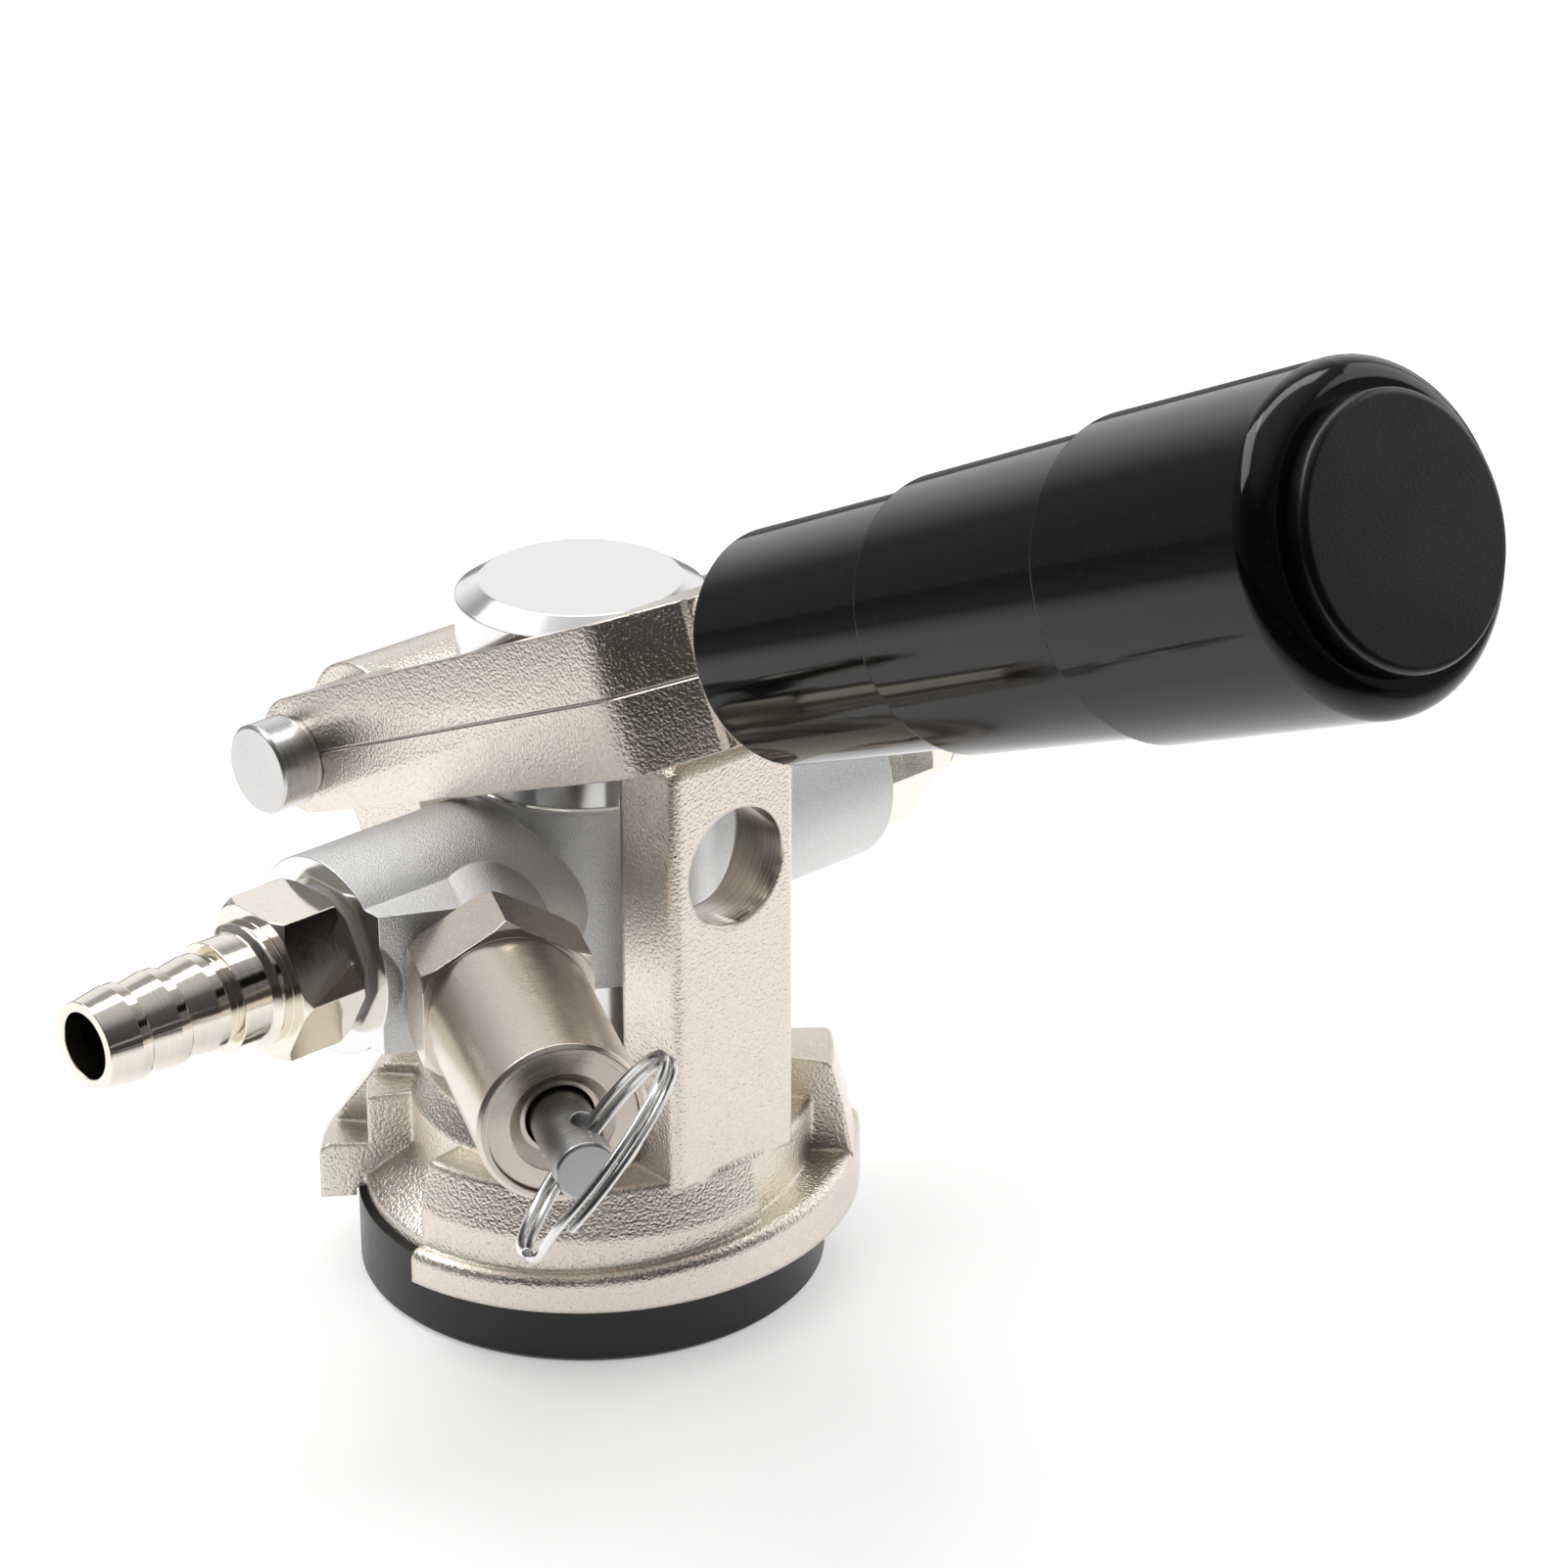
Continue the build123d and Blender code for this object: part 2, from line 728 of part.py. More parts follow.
# Relief stem with its flange and the cross hole for the split ring
hole_direction = (
    Vector(0, 0, 1) * sin(radians(split_hole_tilt)) + valve_side * cos(radians(split_hole_tilt))
)
hole_centre = valve_root + valve_direction * valve_hole_at
with BuildPart() as relief_stem:
    flange_low = valve_seat + valve_seal_thickness
    with BuildSketch(valve_plane(flange_low)):
        Circle(valve_flange_radius)
    extrude(amount=valve_flange_thickness)
    with BuildSketch(valve_plane(flange_low)):
        Circle(valve_stem_radius)
    extrude(amount=valve_stem_end - flange_low)
    chamfer(relief_stem.edges().sort_by(valve_axis)[-1], length=0.3)
    with BuildSketch(Plane(origin=hole_centre, x_dir=valve_direction, z_dir=hole_direction)):
        Circle(split_hole_radius)
    extrude(amount=valve_stem_radius + 1, both=True, mode=Mode.SUBTRACT)
save(relief_stem, "relief_stem")

# Relief seal under the stem's flange
with BuildPart() as relief_seal:
    with BuildSketch(valve_plane(valve_seat)):
        Circle(valve_flange_radius)
    extrude(amount=valve_seal_thickness)
save(relief_seal, "relief_seal")

# End ring screwed into the mouth of the valve, dished round the stem
with BuildPart() as relief_end_ring:
    ring_low = valve_length - end_ring_recess - end_ring_thickness
    ring_high = valve_length - end_ring_recess
    with BuildSketch(valve_profile_plane):
        with BuildLine():
            Polyline(
                (ring_low, valve_stem_radius + slot_gap),
                (ring_low, valve_body_radius - valve_rim - running_gap),
                (ring_high, valve_body_radius - valve_rim - running_gap),
                (ring_high, end_dish_radius),
                (ring_high - end_dish_depth, valve_stem_radius + slot_gap + 0.6),
                (ring_high - end_dish_depth, valve_stem_radius + slot_gap),
                close=True,
            )
        make_face()
    revolve(axis=valve_axis)
save(relief_end_ring, "relief_end_ring")

# Spring that holds the relief seal shut
spring_low = valve_seat + valve_seal_thickness + valve_flange_thickness + relief_wire
spring_high = valve_length - end_ring_recess - end_ring_thickness - relief_wire
with BuildPart() as relief_spring:
    coil(
        valve_root + valve_direction * spring_low,
        valve_direction,
        relief_wire,
        (valve_stem_radius + valve_chamber_radius) / 2,
        relief_coils,
        spring_high - spring_low,
    )
save(relief_spring, "relief_spring")

# Split ring: a wire that runs one flat turn, steps over, and runs a second on top
ring_out = (valve_direction - hole_direction * valve_direction.dot(hole_direction)).normalized()
ring_side = hole_direction.cross(ring_out)
ring_swing = ring_out * cos(radians(split_ring_swing)) + ring_side * sin(radians(split_ring_swing))
ring_reach = ring_swing * cos(radians(split_ring_lean)) + hole_direction * sin(radians(split_ring_lean))
ring_plane = Plane(
    origin=hole_centre + ring_reach * split_ring_radius,
    x_dir=-ring_reach,
    z_dir=ring_swing.cross(hole_direction),
)
turn_start = split_ring_step_at + split_ring_step / 2
turn_sweep = 360 - split_ring_step
with BuildPart() as split_ring:
    with BuildLine(ring_plane) as ring_path:
        under = CenterArc((0, 0, -split_ring_pitch / 2), split_ring_radius, turn_start, turn_sweep)
        over = CenterArc((0, 0, split_ring_pitch / 2), split_ring_radius, turn_start, turn_sweep)
        Spline(under @ 1, over @ 0, tangents=(under % 1, over % 0))
    with BuildSketch(Plane(origin=under @ 0, z_dir=under % 0)):
        RegularPolygon(split_ring_wire, wire_sides)
    sweep()
save(split_ring, "split_ring")

# Lever fork: two cheeks with draft either side of the parting plane, a neck and a spigot
with BuildPart() as lever_fork:
    with BuildSketch(lever_plane) as fork_plan:
        with BuildLine():
            Polyline(
                (-fork_end_radius, -fork_half_width),
                (bend_u, -fork_half_width),
                (neck_u, -neck_half_width),
                (collar_u - collar_thickness, -neck_half_width),
                (collar_u - collar_thickness, neck_half_width),
                (neck_u, neck_half_width),
                (bend_u, fork_half_width),
                (-fork_end_radius, fork_half_width),
                close=True,
            )
        make_face()
        bends = fork_plan.vertices().filter_by(lambda p: abs(p.X - bend_u) < 0.01)
        fillet(bends, radius=fork_bend_round)
    extrude(amount=fork_bottom_v + 2, both=True, taper=fork_draft)
    with BuildSketch(side_plane):
        with BuildLine():
            lower_tail = (0, -fork_tail_v)
            upper_tail = (0, fork_tail_v)
            Line(lower_tail, (bend_u, -fork_bottom_v))
            Line((bend_u, -fork_bottom_v), (collar_u, -fork_bottom_v + 0.6))
            Line((collar_u, -fork_bottom_v + 0.6), (collar_u, fork_top_v))
            Line((collar_u, fork_top_v), (bend_u, fork_top_v))
            Line((bend_u, fork_top_v), upper_tail)
            ThreePointArc(upper_tail, (-fork_tail_v, 0), lower_tail)
        make_face()
    extrude(amount=fork_half_width + 1, both=True, mode=Mode.INTERSECT)
    # Collar that flares to meet the grip, and the spigot that the grip slides on
    with BuildSketch(side_plane):
        with BuildLine():
            flare_low = (neck_u, 0)
            Line(flare_low, (neck_u, fork_top_v - 0.4))
            RadiusArc((neck_u, fork_top_v - 0.4), (collar_u - collar_thickness, collar_radius), 6)
            Line((collar_u - collar_thickness, collar_radius), (collar_u, collar_radius))
            Line((collar_u, collar_radius), (collar_u, 0))
            Line((collar_u, 0), flare_low)
        make_face()
    revolve(axis=handle_axis)
    with BuildSketch(handle_plane(collar_u - 1)):
        Circle(spigot_radius)
    extrude(amount=spigot_end_u - collar_u + 1)
    # Opening between the cheeks, narrow beside the barrel and wide round the probe
    with BuildSketch(lever_plane) as fork_opening:
        Polygon(
            (-2 * fork_end_radius, -barrel_gap),
            (opening_ramp_u, -barrel_gap),
            (opening_from_u, -opening_half_width),
            (crotch_u, -opening_half_width),
            (crotch_u, opening_half_width),
            (opening_from_u, opening_half_width),
            (opening_ramp_u, barrel_gap),
            (-2 * fork_end_radius, barrel_gap),
            align=None,
        )
        fillet(fork_opening.vertices().filter_by(lambda p: p.X > crotch_u - 0.01), radius=4)
    extrude(amount=2 * fork_bottom_v, both=True, mode=Mode.SUBTRACT)
    # Holes for the pivot pin and the trunnions, and the bore of the lock plunger
    with BuildSketch(Plane.XZ):
        with Locations((pivot_x, pivot_z)):
            Circle(pin_radius)
    extrude(amount=2 * fork_half_width, both=True, mode=Mode.SUBTRACT)
    for side in (-1, 1):
        cheek = Plane(
            origin=(trunnion_x, side * opening_half_width, trunnion_z),
            x_dir=(1, 0, 0),
            z_dir=(0, side, 0),
        )
        with BuildSketch(cheek):
            Circle(trunnion_shank_radius)
        extrude(amount=trunnion_shank_depth, mode=Mode.SUBTRACT)
    with BuildSketch(handle_plane(crotch_u - 5)):
        Circle(lock_bore_radius)
    extrude(amount=spigot_end_u, mode=Mode.SUBTRACT)
save(lever_fork, "lever_fork")

# Headed pivot pin and its clip
with BuildPart() as pivot_pin:
    with BuildSketch(Plane.YZ.offset(pivot_x)):
        with BuildLine():
            Polyline(
                (-pin_head_y, pivot_z),
                (-pin_head_y, pivot_z + pin_head_radius - 0.4),
                (-pin_head_y + 0.4, pivot_z + pin_head_radius),
                (-pin_neck_y, pivot_z + pin_head_radius),
                (-pin_neck_y, pivot_z + pin_neck_radius),
                (-fork_half_width, pivot_z + pin_neck_radius),
                (-fork_half_width, pivot_z + pin_radius),
                (clip_groove_y, pivot_z + pin_radius),
                (clip_groove_y, pivot_z + clip_groove_radius),
                (clip_groove_y + clip_thickness, pivot_z + clip_groove_radius),
                (clip_groove_y + clip_thickness, pivot_z + pin_radius),
                (pin_tail_y - 0.4, pivot_z + pin_radius),
                (pin_tail_y, pivot_z + pin_radius - 0.4),
                (pin_tail_y, pivot_z),
                close=True,
            )
        make_face()
    revolve(axis=Axis((pivot_x, 0, pivot_z), (0, 1, 0)))
save(pivot_pin, "pivot_pin")

with BuildPart() as pivot_clip:
    with BuildSketch(Plane.XZ.offset(-clip_groove_y)):
        with Locations((pivot_x, pivot_z)):
            Circle(clip_radius)
            Circle(clip_groove_radius + running_gap, mode=Mode.SUBTRACT)
        with Locations((pivot_x - clip_radius, pivot_z)):
            Rectangle(2 * clip_radius, clip_groove_radius * 1.5, mode=Mode.SUBTRACT)
    extrude(amount=-clip_thickness)
save(pivot_clip, "pivot_clip")

# Trunnion pins that carry the probe
with BuildPart() as trunnion_pins:
    for side in (-1, 1):
        trunnion = Plane(
            origin=(trunnion_x, side * trunnion_reach, trunnion_z),
            x_dir=(1, 0, 0),
            z_dir=(0, side, 0),
        )
        with BuildSketch(trunnion):
            Circle(trunnion_radius)
        extrude(amount=opening_half_width - trunnion_reach)
        with BuildSketch(trunnion):
            Circle(trunnion_shank_radius)
        extrude(amount=opening_half_width - trunnion_reach + trunnion_shank_depth)
save(trunnion_pins, "trunnion_pins")

# Lock plunger and its rod
with BuildPart() as lock_plunger:
    with BuildSketch(handle_plane(crotch_u)):
        Circle(plunger_radius)
    extrude(amount=plunger_length)
    chamfer(lock_plunger.edges().sort_by(handle_axis)[0], length=1.2)
    with BuildSketch(handle_plane(crotch_u + 1)):
        Circle(rod_radius)
    extrude(amount=rod_end_u - crotch_u - 1)
save(lock_plunger, "lock_plunger")

# Nut on the rod's end
with BuildPart() as rod_nut:
    with BuildSketch(handle_plane(rod_end_u - nut_thickness - 1)):
        RegularPolygon(nut_width * hex_corner, 6)
        Circle(rod_radius, mode=Mode.SUBTRACT)
    extrude(amount=nut_thickness)
save(rod_nut, "rod_nut")

# Bush that closes the spigot and backs the plunger's spring
with BuildPart() as spring_bush:
    with BuildSketch(handle_plane(spigot_end_u - bush_thickness)):
        Circle(lock_bore_radius)
        Circle(rod_radius + running_gap, mode=Mode.SUBTRACT)
    extrude(amount=bush_thickness)
save(spring_bush, "spring_bush")

lock_spring_from = crotch_u + plunger_length + lock_wire
lock_spring_to = spigot_end_u - bush_thickness - lock_wire
with BuildPart() as lock_spring:
    coil(
        pivot + handle_direction * lock_spring_from,
        handle_direction,
        lock_wire,
        (rod_radius + lock_bore_radius) / 2,
        lock_coils,
        lock_spring_to - lock_spring_from,
    )
save(lock_spring, "lock_spring")

# Grip: three stepped barrels, hollow for the spigot and for the rod's nut
with BuildPart() as grip:
    with BuildSketch(side_plane) as grip_profile:
        with BuildLine():
            Line((grip_start_u, 0), (grip_start_u, grip_start_radii[0]))
            Line((grip_start_u, grip_start_radii[0]), (grip_middle_u, grip_start_radii[1]))
            Line((grip_middle_u, grip_start_radii[1]), (grip_middle_u, grip_middle_radii[0]))
            Line((grip_middle_u, grip_middle_radii[0]), (grip_end_u, grip_middle_radii[1]))
            Line((grip_end_u, grip_middle_radii[1]), (grip_end_u, grip_end_radii[0]))
            Line((grip_end_u, grip_end_radii[0]), (grip_ring_u, grip_end_radii[1]))
            RadiusArc((grip_ring_u, grip_end_radii[1]), (grip_face_u, grip_face_radius), 3.6)
            Line((grip_face_u, grip_face_radius), (grip_face_u, 0))
            Line((grip_face_u, 0), (grip_start_u, 0))
        make_face()
    revolve(axis=handle_axis)
    with BuildSketch(handle_plane(grip_start_u)):
        Circle(spigot_radius + free_gap)
    extrude(amount=grip_web_u - grip_start_u, mode=Mode.SUBTRACT)
    with BuildSketch(handle_plane(grip_start_u)):
        Circle(rod_radius + free_gap)
    extrude(amount=grip_face_u - grip_start_u, mode=Mode.SUBTRACT)
    with BuildSketch(handle_plane(grip_web_u + grip_web)):
        Circle(grip_cavity_radius)
    extrude(amount=grip_face_u - grip_web_u - grip_web, mode=Mode.SUBTRACT)
save(grip, "grip")

# End cap plugged into the grip
with BuildPart() as grip_end_cap:
    with BuildSketch(handle_plane(grip_face_u)):
        Circle(end_disc_radius)
    extrude(amount=end_disc_u - grip_face_u)
    fillet(grip_end_cap.edges().sort_by(handle_axis)[-1], radius=0.8)
    with BuildSketch(handle_plane(end_plug_u)):
        Circle(grip_cavity_radius)
    extrude(amount=grip_face_u - end_plug_u)
save(grip_end_cap, "grip_end_cap")
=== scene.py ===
import json
from math import cos, radians, sin

import bpy
from bpy.props import FloatProperty, FloatVectorProperty, PointerProperty
from mathutils import Matrix, Vector


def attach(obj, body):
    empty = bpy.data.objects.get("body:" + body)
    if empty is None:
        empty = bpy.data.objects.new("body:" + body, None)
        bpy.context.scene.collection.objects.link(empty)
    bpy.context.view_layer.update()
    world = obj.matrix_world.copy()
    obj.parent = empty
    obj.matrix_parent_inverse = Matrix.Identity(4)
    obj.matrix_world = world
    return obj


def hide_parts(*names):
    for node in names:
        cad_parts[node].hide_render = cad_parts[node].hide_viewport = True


bl_info = {
    "name": "Keg coupler finish",
    "version": (1, 0, 0),
    "blender": (4, 5, 0),
    "location": "3D View > Sidebar > Coupler",
    "description": "Finishes for a lever-handle keg coupler and the studio that shows it",
    "category": "Object",
}

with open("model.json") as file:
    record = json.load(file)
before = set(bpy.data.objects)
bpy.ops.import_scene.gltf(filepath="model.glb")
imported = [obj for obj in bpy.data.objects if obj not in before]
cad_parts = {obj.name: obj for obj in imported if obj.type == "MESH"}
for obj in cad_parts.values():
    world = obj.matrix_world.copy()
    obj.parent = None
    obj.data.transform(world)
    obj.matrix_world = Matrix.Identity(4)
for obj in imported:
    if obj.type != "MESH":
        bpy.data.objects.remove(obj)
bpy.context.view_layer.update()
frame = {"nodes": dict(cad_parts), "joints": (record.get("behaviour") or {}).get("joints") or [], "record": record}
nodes = frame["nodes"]

# Directions and places on the coupler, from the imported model, in metres
joints = {joint["name"]: joint for joint in frame["joints"]}
PIVOT = Vector(joints["lever_hinge"]["pos_m"])
HANDLE = Vector(joints["grip_slide"]["axis"]).normalized()
VALVE = Vector(joints["relief_slide"]["axis"]).normalized()
STEM_HOLE = Vector(joints["split_ring_hinge"]["pos_m"])
ARM_Z = STEM_HOLE.z
UP = Vector((0, 0, 1))
ALONG_ARMS = Vector((0, 1, 0))

# How far from its axis the lock hole's machined bore reaches
LOCK_HOLE = 0.0080

# The turned surfaces of the probe: its barrel above and below the hub, and the ends of its arms
BARREL_RADIUS = 0.0163
HUB_TOP = 0.0711
HUB_FOOT = 0.0462
ARM_END = 0.04255

# Half the width of the mould seam on the lever, and where it has faded out
SEAM = 0.00008
SEAM_FADE = 0.00026

# What the studio shows in reflections, from a direction's dot product with the way to the
# camera: the sweep behind the coupler fades out, and the walls darken towards the camera
SWEEP_FADE = (-0.88, -0.55)
WALL_SPAN = (-0.3, 0.6)
WALL_GLOW = (0.28, 0.05)
CEILING_SPAN = (0.7, 0.95)
CEILING_GLOW = 0.35

# How the floor glows to the camera and in reflections, and where its reflection darkens:
# in front of the coupler, and further off all round
FLOOR_SEEN = 0.45
FLOOR_MIRRORED = 0.42
FLOOR_FRONT = (0.13, 0.26)
FLOOR_FAR = (0.26, 0.46)
FAR_SHARE = 0.8

# Which body each node rides on, and the limits used to tidy a copy of a node's mesh
grouping = frame["record"]["behaviour"]["bodies"]
bodies = {node: body for body, members in grouping.items() for node in members}
MERGE = 0.000002
FLAT = radians(0.6)
SHARP = radians(33)


class CouplerColours(bpy.types.PropertyGroup):
    """Colours of the coupler's finishes."""

    nickel: FloatVectorProperty(
        name="Cast nickel",
        description="Nickel plate on the housing and the lever",
        subtype="COLOR",
        size=3,
        min=0,
        max=1,
        default=(0.83, 0.765, 0.67),
    )
    bright_nickel: FloatVectorProperty(
        name="Bright nickel",
        description="Polished nickel of the hose fittings",
        subtype="COLOR",
        size=3,
        min=0,
        max=1,
        default=(0.86, 0.81, 0.72),
    )
    valve_nickel: FloatVectorProperty(
        name="Satin nickel",
        description="Brushed nickel of the relief valve",
        subtype="COLOR",
        size=3,
        min=0,
        max=1,
        default=(0.74, 0.67, 0.58),
    )
    steel: FloatVectorProperty(
        name="Stainless steel",
        description="Blasted and turned stainless steel of the probe",
        subtype="COLOR",
        size=3,
        min=0,
        max=1,
        default=(0.74, 0.74, 0.735),
    )
    dull_steel: FloatVectorProperty(
        name="Pin steel",
        description="Turned steel of the pins and the relief stem",
        subtype="COLOR",
        size=3,
        min=0,
        max=1,
        default=(0.56, 0.555, 0.55),
    )
    plastic: FloatVectorProperty(
        name="Grip plastic",
        description="Gloss black moulding of the grip",
        subtype="COLOR",
        size=3,
        min=0,
        max=1,
        default=(0.0025, 0.0025, 0.003),
    )
    cap_plastic: FloatVectorProperty(
        name="Cap plastic",
        description="Satin black moulding of the base cap",
        subtype="COLOR",
        size=3,
        min=0,
        max=1,
        default=(0.004, 0.004, 0.0045),
    )


class CouplerSurface(bpy.types.PropertyGroup):
    """Sizes of the texture on the coupler's surfaces."""

    grain: FloatProperty(
        name="Casting grain",
        description="Size of the orange peel on cast nickel",
        default=0.0004,
        min=0.00005,
        max=0.005,
        unit="LENGTH",
    )
    blast: FloatProperty(
        name="Blast grain",
        description="Size of the pits on blasted steel",
        default=0.00018,
        min=0.00005,
        max=0.005,
        unit="LENGTH",
    )
    rim: FloatProperty(
        name="Casting rims",
        description="How far the rims of the castings are rounded off",
        default=0.0009,
        min=0,
        max=0.003,
        unit="LENGTH",
    )
    edge: FloatProperty(
        name="Edge radius",
        description="Radius of the soft edges of cast and machined metal",
        default=0.0004,
        min=0,
        max=0.003,
        unit="LENGTH",
    )


class CouplerView(bpy.types.PropertyGroup):
    """Where the camera stands, and how bright the studio is."""

    azimuth: FloatProperty(
        name="Azimuth",
        description="Turn of the camera about the coupler, from its front",
        default=radians(47.43),
        subtype="ANGLE",
    )
    elevation: FloatProperty(
        name="Elevation",
        description="Height of the camera above the coupler",
        default=radians(24.5),
        subtype="ANGLE",
    )
    distance: FloatProperty(
        name="Distance",
        description="Distance from the camera to the point it looks at",
        default=0.5998,
        min=0.1,
        unit="LENGTH",
    )
    lens: FloatProperty(
        name="Lens",
        description="Focal length on a sensor 36 mm wide",
        default=107.446,
        min=10,
        subtype="DISTANCE_CAMERA",
    )
    sideways: FloatProperty(
        name="Sideways",
        description="How far the point it looks at lies to the right of the probe",
        default=0.02556,
        unit="LENGTH",
    )
    height: FloatProperty(
        name="Height",
        description="Height of the point it looks at",
        default=0.06756,
        unit="LENGTH",
    )
    key: FloatProperty(
        name="Key light",
        description="Power of the main softbox",
        default=3.1,
        min=0,
        subtype="POWER",
    )
    fill: FloatProperty(
        name="Fill light",
        description="Power of the second softbox",
        default=2.0,
        min=0,
        subtype="POWER",
    )
    world: FloatProperty(
        name="Studio walls",
        description="Brightness of the studio's walls and ceiling",
        default=1.0,
        min=0,
    )


# Shader tools


def place(tree, kind, **inputs):
    """Adds a node and sets its inputs by name."""
    node = tree.nodes.new(kind)
    for name, value in inputs.items():
        node.inputs[name.replace("_", " ")].default_value = value
    return node


def maths(tree, operation, *values, clamp=False):
    """Adds a Math node, each value a number or a socket, and returns its output."""
    node = tree.nodes.new("ShaderNodeMath")
    node.operation = operation
    node.use_clamp = clamp
    for socket, value in zip(node.inputs, values):
        if isinstance(value, (int, float)):
            socket.default_value = value
        else:
            tree.links.new(value, socket)
    return node.outputs[0]


def vector_maths(tree, operation, first, second, output=0):
    """Adds a Vector Math node, each value a vector or a socket."""
    node = tree.nodes.new("ShaderNodeVectorMath")
    node.operation = operation
    for socket, value in zip(node.inputs, (first, second)):
        if isinstance(value, bpy.types.NodeSocket):
            tree.links.new(value, socket)
        else:
            socket.default_value = value
    return node.outputs[output]


def ramp(tree, value, low, high, out_low=0.0, out_high=1.0):
    """Spreads a value between two limits over an output range."""
    node = tree.nodes.new("ShaderNodeMapRange")
    tree.links.new(value, node.inputs["Value"])
    node.inputs["From Min"].default_value = low
    node.inputs["From Max"].default_value = high
    node.inputs["To Min"].default_value = out_low
    node.inputs["To Max"].default_value = out_high
    return node.outputs["Result"]


def mix_colours(tree, factor, first, second):
    """Mixes two colours, each a colour or a socket, by a factor socket."""
    node = tree.nodes.new("ShaderNodeMix")
    node.data_type = "RGBA"
    tree.links.new(factor, node.inputs["Factor"])
    for socket, value in zip((node.inputs[6], node.inputs[7]), (first, second)):
        if isinstance(value, bpy.types.NodeSocket):
            tree.links.new(value, socket)
        else:
            socket.default_value = (*value, 1)
    return node.outputs[2]


def blend(tree, factor, first, second):
    """Mixes two number sockets by a factor socket."""
    node = tree.nodes.new("ShaderNodeMix")
    tree.links.new(factor, node.inputs[0])
    tree.links.new(first, node.inputs[2])
    tree.links.new(second, node.inputs[3])
    return node.outputs[0]


def shade(colour, share):
    """A colour made darker or lighter by a share of itself."""
    return tuple(min(1.0, part * share) for part in colour)


def new_group(name, inputs, outputs):
    """An empty shader group with named number sockets."""
    group = bpy.data.node_groups.new(name, "ShaderNodeTree")
    for label, value in inputs.items():
        kind = "NodeSocketVector" if isinstance(value, tuple) else "NodeSocketFloat"
        socket = group.interface.new_socket(label, in_out="INPUT", socket_type=kind)
        socket.default_value = value
    for label, kind in outputs.items():
        group.interface.new_socket(label, in_out="OUTPUT", socket_type=kind)
    return group, group.nodes.new("NodeGroupInput"), group.nodes.new("NodeGroupOutput")


def casting_grain_group():
    """Orange peel, fine speckle and slow mottle of a cast and plated surface."""
    group, given, result = new_group(
        "casting_grain",
        {"Grain Size": 0.0004, "Mottle Size": 0.012},
        {"Height": "NodeSocketFloat", "Speckle": "NodeSocketFloat", "Mottle": "NodeSocketFloat"},
    )
    where = group.nodes.new("ShaderNodeTexCoord").outputs["Object"]
    peel_scale = maths(group, "DIVIDE", 1.0, given.outputs["Grain Size"])
    peel = place(group, "ShaderNodeTexNoise", Detail=3.0, Roughness=0.62)
    group.links.new(where, peel.inputs["Vector"])
    group.links.new(peel_scale, peel.inputs["Scale"])
    pits = place(group, "ShaderNodeTexVoronoi")
    pits.feature = "SMOOTH_F1"
    group.links.new(where, pits.inputs["Vector"])
    group.links.new(maths(group, "MULTIPLY", peel_scale, 0.9), pits.inputs["Scale"])
    pit_depth = ramp(group, pits.outputs["Distance"], 0.0, 0.5, 0.0, 0.5)
    height = maths(group, "ADD", peel.outputs["Fac"], pit_depth)
    group.links.new(height, result.inputs["Height"])
    speckle = ramp(group, peel.outputs["Fac"], 0.36, 0.66)
    group.links.new(speckle, result.inputs["Speckle"])
    mottle_scale = maths(group, "DIVIDE", 1.0, given.outputs["Mottle Size"])
    mottle = place(group, "ShaderNodeTexNoise", Detail=4.0, Roughness=0.5)
    group.links.new(where, mottle.inputs["Vector"])
    group.links.new(mottle_scale, mottle.inputs["Scale"])
    group.links.new(ramp(group, mottle.outputs["Fac"], 0.3, 0.7), result.inputs["Mottle"])
    return group


def turned_lines_group():
    """Fine rings about an axis, as a lathe or a brush leaves them."""
    group, given, result = new_group(
        "turned_lines",
        {"Centre": (0.0, 0.0, 0.0), "Axis": (0.0, 0.0, 1.0), "Pitch": 0.0002},
        {"Height": "NodeSocketFloat", "Streak": "NodeSocketFloat"},
    )
    where = group.nodes.new("ShaderNodeTexCoord").outputs["Object"]
    offset = vector_maths(group, "SUBTRACT", where, given.outputs["Centre"])
    along = vector_maths(group, "DOT_PRODUCT", offset, given.outputs["Axis"], output=1)
    across = vector_maths(group, "CROSS_PRODUCT", offset, given.outputs["Axis"])
    radius = group.nodes.new("ShaderNodeVectorMath")
    radius.operation = "LENGTH"
    group.links.new(across, radius.inputs[0])
    rings = group.nodes.new("ShaderNodeCombineXYZ")
    scale = maths(group, "DIVIDE", 1.0, given.outputs["Pitch"])
    group.links.new(maths(group, "MULTIPLY", along, scale), rings.inputs["X"])
    group.links.new(maths(group, "MULTIPLY", radius.outputs[1], scale), rings.inputs["Y"])
    lines = place(group, "ShaderNodeTexNoise", Scale=1.0, Detail=3.0, Roughness=0.7)
    group.links.new(rings.outputs[0], lines.inputs["Vector"])
    group.links.new(lines.outputs["Fac"], result.inputs["Height"])
    group.links.new(ramp(group, lines.outputs["Fac"], 0.35, 0.65), result.inputs["Streak"])
    return group


def soft_edge_group():
    """Rounded shading at sharp edges, and a mask of where they are."""
    group, given, result = new_group(
        "soft_edge",
        {"Radius": 0.0004},
        {"Normal": "NodeSocketVector", "Edge": "NodeSocketFloat"},
    )
    bevel = group.nodes.new("ShaderNodeBevel")
    bevel.samples = 6
    group.links.new(given.outputs["Radius"], bevel.inputs["Radius"])
    group.links.new(bevel.outputs["Normal"], result.inputs["Normal"])
    flat = group.nodes.new("ShaderNodeNewGeometry").outputs["Normal"]
    same = vector_maths(group, "DOT_PRODUCT", bevel.outputs["Normal"], flat, output=1)
    group.links.new(ramp(group, same, 0.995, 0.85), result.inputs["Edge"])
    return group


